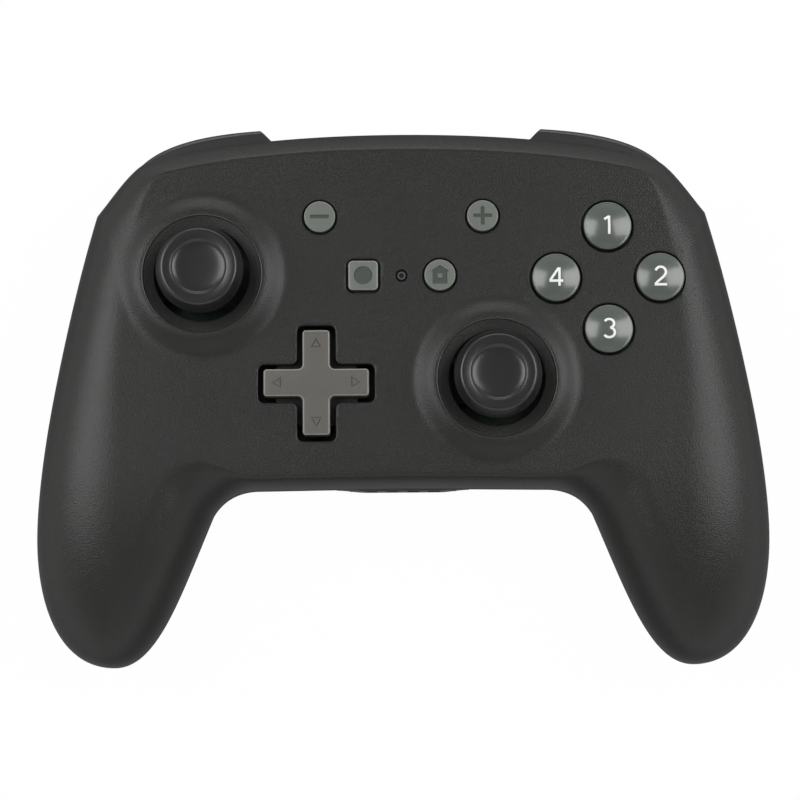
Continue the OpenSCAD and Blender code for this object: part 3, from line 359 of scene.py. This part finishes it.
def outline_of(corners, radii, steps=8):
    """A closed outline through corners, counter-clockwise, each rounded by its own radius."""
    p = np.asarray(corners, float)
    before, after = np.roll(p, 1, 0) - p, np.roll(p, -1, 0) - p
    u = before / np.linalg.norm(before, axis=1)[:, None]
    v = after / np.linalg.norm(after, axis=1)[:, None]
    half = np.arccos(np.clip((u * v).sum(1), -1, 1)) / 2
    r = np.asarray(radii, float) * np.ones(len(p))
    start = p + u * (r / np.tan(half))[:, None]
    end = p + v * (r / np.tan(half))[:, None]
    t = np.linspace(0, 1, steps + 1)[None, :, None]
    middle = p + (u + v) / np.linalg.norm(u + v, axis=1)[:, None] * (r / np.sin(half))[:, None]
    a, b = start - middle, end - middle
    angle = np.arccos(np.clip((a * b).sum(1) / (r * r), -1, 1))[:, None, None]
    arc = (np.sin((1 - t) * angle) * a[:, None] + np.sin(t * angle) * b[:, None]) / np.sin(angle)
    return (middle[:, None] + arc).reshape(-1, 2)


def cross_corners(span, width):
    """The corners of a cross with equal arms, and which of them point outwards."""
    s, w = span / 2, width / 2
    corners = [(s, -w), (s, w), (w, w), (w, s), (-w, s), (-w, w),
               (-s, w), (-s, -w), (-w, -w), (-w, -s), (w, -s), (w, -w)]
    return corners, np.tile([1, 1, 0], 4).astype(bool)


def slab(outline, profile, centre=(0, 0, 0)):
    """A body over an outline: each row of the profile draws it in by an amount at a height."""
    d = np.roll(outline, -1, 0) - np.roll(outline, 1, 0)
    inward = np.stack([-d[:, 1], d[:, 0]], 1) / np.linalg.norm(d, axis=1)[:, None]
    rings = np.stack([np.column_stack([outline + inward * draw, np.full(len(outline), z)])
                      for draw, z in profile])
    verts, faces = skin(rings)
    return verts + np.asarray(centre, float), faces


def rounded_square(w, h, r, steps=8):
    """The outline of a rectangle with round corners."""
    return outline_of([(w / 2, -h / 2), (w / 2, h / 2), (-w / 2, h / 2), (-w / 2, -h / 2)], r, steps)


def stick_hole(c):
    """The funnel and the hole that a stick stands in, with a soft crest."""
    a = np.linspace(0, np.radians(78), 7)
    crest = [[CREST - 0.5, FACE + CREST_H - 0.2], [CREST + 0.6, FACE + CREST_H + 0.16]]
    lip = np.stack([HOLE + 0.3 * (1 - np.cos(a)), FACE + 1.2 + 0.3 * np.sin(a)], 1)
    line = np.vstack([[0, 27], [HOLE, 27], lip, crest, [CREST + 0.6, 42], [0, 42]])
    return turned(line, (*c, 0), 144)


bevel = [(0, 26), (0, FACE - 0.3), (-0.09, FACE - 0.09), (-0.3, FACE), (-0.3, 40)]
cross_at, outward = cross_corners(23.8, 7.8)
holes = [hole(5.35, *p) for p in FACE_BUTTONS]
holes += [hole(3.6, x, y, 0.2) for x, y in (SIGN * [-1, 1], SIGN, MENU)] + [hole(1.25, 0, MENU[1], 0.15)]
holes += [slab(rounded_square(6.9, 6.9, 1.4), bevel, (-MENU[0], MENU[1], 0))]
holes += [slab(outline_of(cross_at, np.where(outward, 1.15, 1.3)), bevel, (*CROSS, 0))]
holes += [stick_hole(c) for c in STICKS.values()]
cut(front, holes)


def bumper_rings(back, out, low, high, gaps, steps, round_steps, soft):
    """A bumper's sections along the curve of its outer edge. The first leans at 45 degrees and the
    others come square to the curve. Each is a rectangle with soft outer edges."""
    start, stop, bend_in, bend_out = np.array([[29.4, 39.2], [54.3, 31.8], [8, -0.5], [-5.5, 5.6]])
    p = np.array([start - gaps[0] * bend_in / np.linalg.norm(bend_in), start + bend_in, stop + bend_out,
                  stop - gaps[1] * bend_out / np.linalg.norm(bend_out)])
    o = bezier(p, steps, True)
    t = np.linspace(0, 1, steps + 1)[:, None]
    d = 3 * (1 - t) ** 2 * (p[1] - p[0]) + 6 * t * (1 - t) * (p[2] - p[1]) + 3 * t * t * (p[3] - p[2])
    square = np.stack([-d[:, 1], d[:, 0]], 1) / np.linalg.norm(d, axis=1)[:, None]
    lean = mix(np.array([[1, 1]]) / math.sqrt(2), square, ease(3 * t))
    a = np.linspace(0, np.pi / 2, round_steps + 1)
    lower = np.stack([out - soft + soft * np.sin(a), low + soft - soft * np.cos(a)], 1)
    upper = np.stack([out - soft + soft * np.cos(a), high - soft + soft * np.sin(a)], 1)
    section = np.vstack([[-back, low], lower, upper, [-back, high]])
    plan = o[:, None] + section[None, :, :1] * lean[:, None]
    return np.concatenate([plan, np.repeat(section[None, :, 1:], steps + 1, 0)], 2)


pocket = bumper_rings(9.2, 6, 17.8, 28.75, (0.6, 0.9), 24, 2, 1.4)
cut(front, [skin(pocket), skin(pocket[::-1] * [-1, 1, 1])])


def group(name, inputs, outputs):
    """A new node group with float, colour or vector sockets, and its two end nodes."""
    tree = bpy.data.node_groups.new(name, "ShaderNodeTree")
    for label, kind in inputs:
        tree.interface.new_socket(label, in_out="INPUT", socket_type="NodeSocket" + kind)
    for label, kind in outputs:
        tree.interface.new_socket(label, in_out="OUTPUT", socket_type="NodeSocket" + kind)
    return tree, tree.nodes.new("NodeGroupInput"), tree.nodes.new("NodeGroupOutput")


# Grain of a moulded surface: fine pimples and slow changes of tone, in the piece's own coordinates.
grain, g_in, g_out = group("grain", [("Colour", "Color"), ("Scale", "Float"), ("Contrast", "Float")],
                           [("Colour", "Color"), ("Height", "Float")])
coords = grain.nodes.new("ShaderNodeTexCoord")
pimples = grain.nodes.new("ShaderNodeTexNoise")
pimples.inputs["Detail"].default_value = 2.0
pimples.inputs["Roughness"].default_value = 0.6
slow = grain.nodes.new("ShaderNodeTexNoise")
slow.inputs["Scale"].default_value = 60.0
slow.inputs["Detail"].default_value = 3.0
grain.links.new(coords.outputs["Object"], pimples.inputs["Vector"])
grain.links.new(coords.outputs["Object"], slow.inputs["Vector"])
grain.links.new(g_in.outputs["Scale"], pimples.inputs["Scale"])
fine = maths(grain, "SUBTRACT", pimples.outputs["Fac"], 0.5)
broad = maths(grain, "MULTIPLY", maths(grain, "SUBTRACT", slow.outputs["Fac"], 0.5), 0.35)
swing = maths(grain, "MULTIPLY", maths(grain, "ADD", fine, broad), g_in.outputs["Contrast"])
gain = maths(grain, "ADD", swing, 1.0)
tint = grain.nodes.new("ShaderNodeVectorMath")
tint.operation = "SCALE"
grain.links.new(g_in.outputs["Colour"], tint.inputs[0])
grain.links.new(gain, tint.inputs["Scale"])
grain.links.new(tint.outputs[0], g_out.inputs["Colour"])
grain.links.new(pimples.outputs["Fac"], g_out.inputs["Height"])


def plastic(name, colour, rough, scale=3000.0, contrast=0.5, depth=0.03, **more):
    """A moulded surface: a colour with grain of so many pimples a metre and a depth in millimetres."""
    mat = bpy.data.materials.new(name)
    mat.use_nodes = True
    tree = mat.node_tree
    shader = tree.nodes["Principled BSDF"]
    shader.inputs["Roughness"].default_value = rough
    for label, value in more.items():
        shader.inputs[label.replace("_", " ").title().replace("Ior", "IOR")].default_value = value
    skin_node = tree.nodes.new("ShaderNodeGroup")
    skin_node.node_tree = grain
    skin_node.inputs["Colour"].default_value = (*colour, 1)
    skin_node.inputs["Scale"].default_value = scale
    skin_node.inputs["Contrast"].default_value = contrast
    bump = tree.nodes.new("ShaderNodeBump")
    bump.inputs["Distance"].default_value = depth * 0.001
    tree.links.new(skin_node.outputs["Colour"], shader.inputs["Base Color"])
    tree.links.new(skin_node.outputs["Height"], bump.inputs["Height"])
    tree.links.new(bump.outputs["Normal"], shader.inputs["Normal"])
    return mat


def dress(obj, mat, body, node):
    """Gives a new piece its material in a slot and its body, and hides the CAD node it stands in for, if one is
    given.
    """
    obj.data.materials.clear()
    obj.data.materials.append(mat)
    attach(obj, body)
    if node:
        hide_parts(node)


SHELL_BLACK = (0.017, 0.0167, 0.0158)
black = plastic("grained_black", SHELL_BLACK, 0.3, 3200.0, 0.9, 0.08, specular_ior_level=0.3)
dress(front, black, "case", "front_shell")


def hoop(c, radius, thick, height, n=144, m=12):
    """A ring of round section about a centre, at a height."""
    a, b = (np.linspace(0, 2 * np.pi, count, endpoint=False) for count in (n, m))
    a, b = np.meshgrid(a, b, indexing="ij")
    r = radius + thick * np.cos(b)
    rings = np.stack([c[0] + r * np.cos(a), c[1] + r * np.sin(a), height + thick * np.sin(b)], 2)
    i, k = np.meshgrid(np.arange(n), np.arange(m), indexing="ij")
    i, k, i2, k2 = (v.ravel() for v in (i, k, (i + 1) % n, (k + 1) % m))
    return rings.reshape(-1, 3), np.stack([i * m + k, i2 * m + k, i2 * m + k2, i * m + k2], 1).tolist()


smooth_black = plastic("smooth_black", SHELL_BLACK, 0.25, 2000.0, 0.2, 0.002, specular_ior_level=0.5)
for side, c in STICKS.items():
    bead = piece(side + "_ring_bead", *hoop(c, CREST + 0.05, 0.2, FACE + CREST_H - 0.08))
    dress(bead, smooth_black, "case", None)


# Rear shell: the lower half of the case in the same plastic, a little darker, with finger scoops under
# the shoulders, deep screw holes, a battery opening and pockets for the triggers.
def back_skin(inset, thick, foot, edge, middle, rows):
    """The rear shell's outer surface, or its hollow when it is drawn in by the wall."""
    w_out, w_in = mix(14, 20, top_share), np.full_like(top_share, 14)
    s, plan, seam = ribs(inset, w_out, w_in, edge, middle)
    scoop = 8 * ease((np.abs(plan[:, :, 0]) - 36) / 10) * ease((plan[:, :, 1] + 22) / 25)
    h = seam - scoop - thick
    e_out, e_in = rise((s - inset) / w_out, 2.2), rise((length - inset - s) / w_in, 2.2)
    z = seam - h * (0.8 / h + (1 - 0.8 / h) * e_out) * (0.8 / h + (1 - 0.8 / h) * e_in)
    return mirrored(rings_of(plan, z, seam - foot)[:rows, ::-1])


def block(x0, x1, y0, y1, z0, z1):
    """A plain block."""
    return slab(np.array([[x0, y0], [x1, y0], [x1, y1], [x0, y1]]), [(0, z0), (0, z1)])


def tube(radius, low, high, x, y, n=48):
    """A plain upright cylinder."""
    return turned([[0, low], [radius, low], [radius, high], [0, high]], (x, y, 0), n)


YAW = math.radians(10)


def at_shoulder(body, side):
    """A body given in the frame of a trigger's pin, moved to the right or left shoulder."""
    verts, faces = body
    x = 41.5 + verts[:, 0] * math.cos(YAW) + verts[:, 1] * math.sin(YAW)
    y = 29.0 - verts[:, 0] * math.sin(YAW) + verts[:, 1] * math.cos(YAW)
    if side > 0:
        return np.column_stack([x, y, verts[:, 2]]), faces
    return np.column_stack([-x, y, verts[:, 2]]), [f[::-1] for f in faces]


SCREWS = np.array([[20.5, 28.5], [61, -4], [30, -30.5], [57.5, -50]])
SCREWS = np.vstack([SCREWS, SCREWS * [-1, 1]])
back_tips = tips - [0, 0, 0.2]
rear = piece("rear_case", *skin(back_skin(0, 0, 0.1, 24, 60, len(outer)), back_tips))
inside = piece("inside", *skin(back_skin(WALL * LEAN, WALL, -1, 10, 20, len(outer) - 2 * FINE)))
cut(inside, [tube(3, -10, 40, *p) for p in SCREWS])
cut(rear, inside)
HEAD, SHANK, HEAD_DEPTH = 2.5, 1.45, 7
bores = [turned([[0, -10], [HEAD, -10], [HEAD, seam_at(y) - HEAD_DEPTH], [SHANK, seam_at(y) - HEAD_DEPTH],
                 [SHANK, 40], [0, 40]], (x, y, 0), 48) for x, y in SCREWS]
DOOR_X = (50.5 + 5 + 1.04) / 2 + 0.7
bores += [block(-DOOR_X - 0.3, DOOR_X + 0.3, -18.3, 16.2, -1, 3.2)]
bores += [block(-11.2, 11.2, -40, -31, 11.1, 14.5)]
cut(rear, bores)
cut(rear, [block(-14.02, 14.02, low_mid[1] - 1.5, low_mid[1] + 1.32, 10.28, 15.32)])
cut(rear, [block(-6.3, 6.3, -19.6, -17.3, -1, 3.2), *(tube(3.3, 18.8, 40, x, 28.5) for x in (20.5, -20.5))])
cut(rear, [at_shoulder(block(-12.9, 12.9, -2.8, 14, -1, 22), s) for s in (1, -1)])
cut(rear, [at_shoulder(block(-18.2, 12.9, -6.9, 9.9, 18.5, 40), s) for s in (1, -1)])
DARK = (0.02, 0.0196, 0.0188)
dark = plastic("grained_dark", DARK, 0.42, 2700.0, 0.6, 0.06, specular_ior_level=0.3)
dress(rear, dark, "case", "rear_shell")


# Battery door: a plain plate that closes the belly, with a latch tab at one edge and a rolled hinge
# on two pegs at the other. It swings out with a recess for a thumb beside the latch.
def soft_plate(outline, low, high, soft=0.3):
    """A plate over an outline with softly rounded edges above and below."""
    a = np.linspace(0, np.pi / 2, 5)
    lower = np.stack([soft * (1 - np.sin(a)), low + soft * (1 - np.cos(a))], 1)
    upper = np.stack([soft * (1 - np.cos(a)), high - soft * (1 - np.sin(a))], 1)
    return slab(outline, np.vstack([lower, upper]))


def along_x(body, y, z):
    """A turned body laid along X at a place."""
    verts, faces = body
    return np.column_stack([verts[:, 2], verts[:, 0] + y, verts[:, 1] + z]), faces


plate = outline_of([(-DOOR_X, -18), (-6, -18), (-6, -19), (6, -19),
                    (6, -18), (DOOR_X, -18), (DOOR_X, 15), (-DOOR_X, 15)],
                   [0.8, 0.2, 0.4, 0.4, 0.2, 0.8, 0.3, 0.3], 5)
door = piece("battery_lid", *soft_plate(plate, 0, 2.2))
PEG_X = DOOR_X + 1.6
roll = along_x(turned([[0, -DOOR_X], [1.1, -DOOR_X], [1.1, DOOR_X], [0, DOOR_X]], n=48), 14.8, 1.1)
pegs = along_x(turned([[0, -PEG_X], [0.7, -PEG_X], [0.7, PEG_X], [0, PEG_X]], n=48), 14.8, 1.1)
cut(door, [roll], add=True)
cut(door, [pegs], add=True)
thumb = outline_of([(-9, -15.5), (9, -15.5), (9, -10.5), (-9, -10.5)], 2.4, 10)
cut(door, [slab(thumb, [(-0.3, -1), (0, 0), (0.4, 0.6)])])
rib = rounded_square(12, 0.7, 0.3, 4)
cut(door, [soft_plate(rib + [0, y], 0.15, 1.2, 0.15) for y in (-14.2, -13, -11.8)], add=True)
dress(door, dark, "battery_door", "battery_door")


# Bumpers: smooth satin plastic bars along the shoulders, each on an upright pin at its inner end, with
# a bore for the pin from below.
satin = plastic("satin_black", (0.019, 0.019, 0.0195), 0.28, 1500.0, 0.2, 0.004)
for side, s in (("right", 1), ("left", -1)):
    bar = bumper_rings(7, 0, 20.7, 28.4, (0, 0), 40, 8, 1.4)
    bumper = piece(side + "_bumper_bar", *skin(bar if s > 0 else bar[::-1] * [-1, 1, 1]))
    cut(bumper, [tube(2.2, 20.7, 28.4, 29.4 * s, 33.0)], add=True)
    cut(bumper, [tube(1.05, 19.7, 27.4, 29.4 * s, 33.0)])
    dress(bumper, satin, side + "_bumper", side + "_bumper")


# Triggers: satin plastic levers below the bumpers. Each turns on a steel pin behind its finger face and
# presses a switch with two tails.
top, low = np.array([8.5, 4.2]), np.array([9.3, -9.4])
hook = low - [3.2, 0.4]
side_view = np.vstack([
    bezier([low, low + 11 * np.array([0.11, 0.5]), top + 11 * np.array([0.16, -0.23]), top], 24),
    [top, [2, 4.2], [0, 2.6]],
    bezier([[0, -2.6], 3.2 * np.array([0.94, -1.46]), hook + 3.2 * np.array([-0.38, 0.81]), hook], 12),
    bezier([hook, hook + 3.2 * np.array([0.16, -0.6]), low + 3.2 * np.array([-0.09, -0.65]), low], 12)])
for side, s in (("right", 1), ("left", -1)):
    verts, faces = soft_plate(side_view, -10.5, 10.5, 0.7)
    along = verts[:, 2] / 10.5
    verts[:, 0] -= (1.1 * along + 0.9 * along ** 2) * np.clip(verts[:, 0] / hook[0], 0, 1)
    lever = (np.column_stack([verts[:, 2], verts[:, 0], verts[:, 1] + 13.6]), faces)
    trigger = piece(side + "_trigger_lever", *at_shoulder(lever, s))
    barrel = along_x(turned([[0, -10.5], [2.6, -10.5], [2.6, 10.5], [0, 10.5]], n=48), 0, 13.6)
    tails = [block(x - 3, x + 3, -5.5, 0, 13.0, 14.2) for x in (-7.5, 7.5)]
    cut(trigger, [at_shoulder(barrel, s)], add=True)
    cut(trigger, [at_shoulder(b, s) for b in tails], add=True)
    bore_line = [[0, -20], [1.05, -20], [1.05, -3], [2.9, -3], [2.9, 3], [1.05, 3], [1.05, 20], [0, 20]]
    bore = along_x(turned(bore_line, n=48), 0, 13.6)
    cut(trigger, [at_shoulder(bore, s)])
    dress(trigger, satin, side + "_trigger", side + "_trigger")


# Stick caps: turned in matt rubber, each a dome that closes the well, a neck and a flared cap with a
# raised rim round a shallow dish. A cap is pushed on a steel lever.
PIVOT = 27.0


def arc(radius, start, stop, n):
    """Points of an arc about the origin, from one angle off the upright to another, in degrees."""
    a = np.radians(np.linspace(start, stop, n))
    return radius * np.stack([np.sin(a), np.cos(a)], 1)


cap_line = np.vstack([
    [[0, 16.7], [1.55, 16.7], [1.55, 4.5], [3, 4.5]],
    arc(8.6, 20.4, 55.6, 12), arc(9.05, 56, 56.4, 3), arc(9.5, 55.8, 26, 24),
    bezier([[4.1, 8.5], [4, 9.2], [4, 10], [4, 11.5]], 6),
    bezier([[4, 13], [4, 15], [5.5, 14.9], [7.6, 14.2]], 10),
    bezier([[7.6, 14.2], [8.3, 13.9], [8.9, 13.9], [8.95, 14.9]], 10),
    bezier([[8.95, 14.9], [9.0, 16.2], [8.5, 17.3], [7.85, 18.6]], 14),
    bezier([[7.85, 18.6], [7.7, 18.88], [7.5, 18.98], [7.25, 18.98]], 8),
    bezier([[7.25, 18.98], [6.8, 18.98], [6.2, 18.92], [5.75, 18.84]], 8),
    bezier([[5.75, 18.84], [5.6, 18.8], [5.5, 18.62], [5.3, 18.48]], 8),
    bezier([[5.3, 18.48], [4.8, 18.12], [2.6, 18.05], [0, 18.05]], 16, True)])
rubber = plastic("matt_rubber", (0.0105, 0.0105, 0.0108), 0.25, 2500.0, 0.2, 0.003)
for side, c in STICKS.items():
    cap = piece(side + "_thumb_cap", *turned(cap_line, (*c, PIVOT), 128), smooth=50)
    dress(cap, rubber, side + "_stick_cap", side + "_stick_cap")


# Face buttons: domed caps of clear-coated grey plastic, each with a white number printed on it. They
# slide in holes of the face, with a collar below it that keeps them in.
button_line = np.vstack([
    [[0, 25.9], [3, 25.9], [3, 27.9], [5.85, 27.9], [5.85, 29.3], [4.95, 29.3]],
    [4.55, 34.68] + 0.4 * np.stack([np.cos(np.linspace(0, 1.15, 8)), np.sin(np.linspace(0, 1.15, 8))], 1),
    np.stack([4.55 * np.linspace(1, 0, 24), 36.0 - 0.95 * np.linspace(1, 0, 24) ** 2], 1)])
clear_grey = plastic("coated_grey", (0.072, 0.085, 0.074), 0.3, 1200.0, 0.1, 0.002,
                     coat_weight=0.6, coat_roughness=0.16)
white = plastic("white_print", (0.8, 0.8, 0.79), 0.5, 2000.0, 0.05, 0.002)


def ribbon(path, width, low, high):
    """A flat stroke along a path over the plan, between two heights given as functions of the plan."""
    p = np.asarray(path, float)
    d = np.gradient(p, axis=0)
    n = np.stack([-d[:, 1], d[:, 0]], 1) / np.linalg.norm(d, axis=1)[:, None] * width / 2
    left, right = p + n, p - n
    rings = np.stack([np.column_stack([right, low(right)]), np.column_stack([left, low(left)]),
                      np.column_stack([left, high(left)]), np.column_stack([right, high(right)])], 1)
    return skin(rings[:, ::-1])


def straight(a, b, n=12):
    """Points along a straight stroke."""
    return np.linspace(a, b, n)


def bow(x, y, rx, ry, start, stop, n=24):
    """Points along a stroke that bends round a centre, in degrees from the right, turning left."""
    a = np.radians(np.linspace(start, stop, n))
    return np.stack([x + rx * np.cos(a), y + ry * np.sin(a)], 1)


STROKES = {
    "1": [straight((0.25, -1.9), (0.25, 1.9)), straight((-0.75, 1.15), (0.2, 1.75), 6)],
    "2": [np.vstack([bow(0, 0.85, 1.05, 1.05, 165, -25),
                     bezier([(0.85, 0.25), (0.4, -0.5), (-0.7, -1.0), (-1.15, -1.75)], 12, True)]),
          straight((-1.3, -1.75), (1.25, -1.75))],
    "3": [bow(-0.05, 0.92, 1.0, 0.92, 150, -80), bow(-0.05, -0.92, 1.15, 1.0, 80, -150)],
    "4": [straight((0.6, -1.9), (0.6, 1.9)), straight((0.45, 1.8), (-1.3, -0.75)),
          straight((-1.45, -0.85), (1.35, -0.85))]}
STROKE, PRINT = 0.5, 0.015
for (x, y), where, digit in zip(FACE_BUTTONS, ("top", "right", "bottom", "left"), "1234"):
    button = piece("button_" + where, *turned(button_line, (x, y, 0), 96), smooth=50)
    dress(button, clear_grey, "face_button_" + where, "face_button_" + where)
    dome = lambda q, cx=x, cy=y: 36.0 - 0.95 * ((q[:, 0] - cx) ** 2 + (q[:, 1] - cy) ** 2) / 4.55**2
    strokes = [ribbon(k + [x, y], STROKE, lambda q: dome(q) - 0.05, lambda q: dome(q) + PRINT)
               for k in STROKES[digit]]
    number = piece("number_" + digit, *joined(strokes))
    dress(number, white, "face_button_" + where, None)


# System buttons: small satin grey plastic caps, each with a bevel painted lighter as a highlight and a
# sunk sign painted darker as shade: minus, plus, a disc and a house. They slide in the face over small switches.
def mark(obj, name, chosen):
    """Marks faces with an attribute. A test of their middles in millimetres and normals picks them."""
    mesh = obj.data
    middle, normal = np.empty(len(mesh.polygons) * 3), np.empty(len(mesh.polygons) * 3)
    mesh.polygons.foreach_get("center", middle)
    mesh.polygons.foreach_get("normal", normal)
    picked = chosen(middle.reshape(-1, 3) * 1000, normal.reshape(-1, 3))
    mesh.attributes.new(name, "FLOAT", "FACE").data.foreach_set("value", picked.astype(np.float32))


def sloping(level):
    """The test for the faces of a bevel: above a level, and neither flat nor upright."""
    return lambda mid, normal: (mid[:, 2] > level) & (normal[:, 2] > 0.2) & (normal[:, 2] < 0.95)


def colour_marked(mat, name, colour):
    """Gives the marked faces of a material another colour."""
    tree = mat.node_tree
    base = tree.nodes["Principled BSDF"].inputs["Base Color"]
    marked, fade = tree.nodes.new("ShaderNodeAttribute"), tree.nodes.new("ShaderNodeMix")
    marked.attribute_name, fade.data_type = name, "RGBA"
    fade.inputs[7].default_value = (*colour, 1)
    tree.links.new(marked.outputs["Fac"], fade.inputs[0])
    tree.links.new(base.links[0].from_socket, fade.inputs[6])
    tree.links.new(fade.outputs[2], base)


grey = plastic("satin_grey", (0.118, 0.13, 0.115), 0.42, 2500.0, 0.2, 0.004)
# Painted shade: the sunk signs are coloured darker, as if in the shade of their recess.
colour_marked(grey, "sunk", (0.042, 0.05, 0.043))
# Painted highlight: the bevels are coloured lighter, as if catching the light.
colour_marked(grey, "bevel", (0.21, 0.225, 0.2))

CAP_TOP, SINK = 34.9, 0.22


def sign(outline, x, y):
    """The body that sinks a sign into a button."""
    return slab(np.asarray(outline, float) + [x, y], [(0, CAP_TOP - SINK), (0, CAP_TOP + 1)])


def finish_cap(obj, x, y):
    """Marks a button's sunk sign for painted shade and its bevel for a painted highlight."""
    mark(obj, "sunk", lambda mid, normal: (np.hypot(mid[:, 0] - x, mid[:, 1] - y) < 2.6)
         & (mid[:, 2] < CAP_TOP - 0.1) & (mid[:, 2] > CAP_TOP - 1.1))
    mark(obj, "bevel", sloping(CAP_TOP - 0.27))


bar = [(-1.9, -0.38), (1.9, -0.38), (1.9, 0.38), (-1.9, 0.38)]
both = cross_corners(3.8, 0.74)[0]
disc = bow(0, 0, 1.88, 1.88, 0, 354, 60)
house = [(-1.5, -1.85), (1.5, -1.85), (1.5, 0.72), (1.9, 0.72), (1.2, 1.25), (0, 2.0),
         (-1.2, 1.25), (-1.9, 0.72), (-1.5, 0.72)]
neck = [[0, 26.6], [1.4, 26.6], [1.4, 30.1]]
a = np.linspace(0, np.pi / 2, 6)
rim = [2.95, CAP_TOP - 0.25] + 0.25 * np.stack([np.cos(a), np.sin(a)], 1)
round_cap = np.vstack([neck, [[4.2, 30.1], [4.2, 31.5], [3.2, 31.5]], rim, [[0, CAP_TOP]]])
for name, x, y, shape in (("minus", -SIGN[0], SIGN[1], bar), ("plus", *SIGN, both), ("home", *MENU, house)):
    cap = piece(name + "_cap", *turned(round_cap, (x, y, 0), 72))
    cut(cap, [sign(shape, x, y)])
    if name == "home":
        cut(cap, [block(x - 0.48, x + 0.48, y - 0.62, y + 0.28, CAP_TOP - 0.5, CAP_TOP)], add=True)
    finish_cap(cap, x, y)
    dress(cap, grey, name + "_button", name + "_button")
x, y = -MENU[0], MENU[1]
square_line = [(0, 30.5), (0, 34.65), (0.07, 34.83), (0.25, CAP_TOP)]
cap = piece("capture_cap", *slab(rounded_square(6.1, 6.1, 0.9) + [x, y], square_line))
stem = turned(np.vstack([neck, [[5.3, 30.1], [5.3, 31.5], [0, 31.5]]]), (x, y, 0), 72)
cut(cap, [stem], add=True)
cut(cap, [sign(disc, x, y)])
finish_cap(cap, x, y)
dress(cap, grey, "capture_button", "capture_button")


# Directional cross: one satin grey moulding that rocks on a ball, with a sunk arrow outline on each arm
# and a bevel painted lighter as a highlight. Its hub below the face keeps it in, painted near black as shade.
def band(outer_line, inner_line, low, high):
    """A closed band between two outlines with as many points, from one height to another."""
    n = len(outer_line)
    verts = np.vstack([np.column_stack([line, np.full(n, z)]) for line, z in
                       ((outer_line, low), (outer_line, high), (inner_line, high), (inner_line, low))])
    i = np.arange(n)
    k = (i + 1) % n
    here, there = np.arange(4)[:, None] * n, (np.arange(4)[:, None] + 1) % 4 * n
    return verts, np.stack([here + i, here + k, there + k, there + i], 2).reshape(-1, 4).tolist()


CROSS_TOP = 35.8
corners, outward = cross_corners(21.6, 5.6)
cross_line = outline_of(corners, np.where(outward, 0.7, 1.0))
a = np.linspace(0, np.pi / 2, 7)
edge = np.stack([0.4 * (1 - np.cos(a)), CROSS_TOP - 0.4 * (1 - np.sin(a))], 1)
cross = piece("cross", *slab(cross_line, np.vstack([[[0, 29.7]], edge]), (*CROSS, 0)))
hub_line = [[0, 28.1], [3.4, 28.1], [3.4, 29.4], [9, 29.4], [9, 30.7], [0, 30.7]]
hub = piece("cross_hub", *turned(hub_line, (*CROSS, 0), 96))
# The hub gets the near-black inner plastic as painted shade; it is the cross's own grey moulding.
inner_black = plastic("inner_black", (0.005, 0.005, 0.005), 0.55, 2000.0, 0.3, 0.01)
dress(hub, inner_black, "dpad_cross", None)
tri = np.array([(0.0, 1.15), (-1.15, -0.85), (1.15, -0.85)])
for turn in range(4):
    c, s = math.cos(turn * math.pi / 2), math.sin(turn * math.pi / 2)
    spin = lambda q: np.column_stack([c * q[:, 0] - s * q[:, 1], s * q[:, 0] + c * q[:, 1]])
    shift = spin(np.array([[0, 8.0]])) + CROSS
    cut(cross, [band(spin(tri) + shift, spin(tri * 0.66) + shift, CROSS_TOP - 0.2, CROSS_TOP + 1)])
mark(cross, "bevel", sloping(CROSS_TOP - 0.42))
cross_grey = plastic("cross_grey", (0.092, 0.088, 0.078), 0.4, 2500.0, 0.3, 0.006)
# Painted highlight: the cross's bevel is coloured lighter, as if catching the light.
colour_marked(cross_grey, "bevel", (0.22, 0.212, 0.19))
dress(cross, cross_grey, "dpad_cross", "dpad_cross")


# Lights: a smoked plastic pin with a grey ring round it in the face, a painted highlight, and a grey strip
# with four dark windows in the lower edge, seated in a pocket of the rear shell.
def coat(nodes, mat):
    """Gives CAD nodes that are kept a better material."""
    for node in nodes:
        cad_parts[node].data.materials.clear()
        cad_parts[node].data.materials.append(mat)


def glassy(name, colour, rough):
    """A smooth plastic of the lights."""
    return plastic(name, colour, rough, 1500.0, 0.1, 0.002)


coat(["status_light_pipe"], glassy("smoked_pin", (0.006, 0.006, 0.006), 0.2))
coat(["player_light_strip"], glassy("grey_strip", (0.09, 0.085, 0.086), 0.35))
coat(["player_light_lamps"], glassy("smoked_window", (0.008, 0.008, 0.008), 0.1))
# A painted highlight: a ring of lighter grey round the pin, just below the face.
ring_out, ring_in = (bow(0, MENU[1], r, r, 0, 352.5, 48) for r in (0.78, 0.56))
painted_highlight_ring = piece("light_ring", *band(ring_out, ring_in, 33.8, 34.06))
dress(painted_highlight_ring, glassy("ring_grey", (0.06, 0.064, 0.06), 0.4), "case", None)


# Inner pieces: board, cells, springs and mouldings that show only through the battery opening and round
# the levers. They are screwed or clipped inside the case.
INNER = {
    inner_black:
        ["battery_tray", "shoulder_brackets", "shoulder_switches", "dpad_post", "system_switches",
         "left_stick_sensors", "right_stick_sensors", "left_stick_yoke", "right_stick_yoke"],
    plastic("board_green", (0.006, 0.03, 0.014), 0.35, 900.0, 0.8, 0.01): ["main_board"],
    plastic("dark_silicone", (0.02, 0.02, 0.021), 0.6, 1500.0, 0.15, 0.01): ["face_membrane", "dpad_membrane"],
    plastic("plated_steel", (0.55, 0.55, 0.56), 0.3, 2500.0, 0.25, 0.005, metallic=1.0):
        ["battery_contacts", "case_screws", "trigger_pins", "trigger_springs", "dpad_ball", "left_stick_housing",
         "right_stick_housing", "left_stick_lever", "right_stick_lever"],
    plastic("foil_sleeve", (0.38, 0.30, 0.10), 0.35, 400.0, 0.3, 0.004, metallic=0.6): ["battery_cells"]}
for mat, nodes in INNER.items():
    coat(nodes, mat)
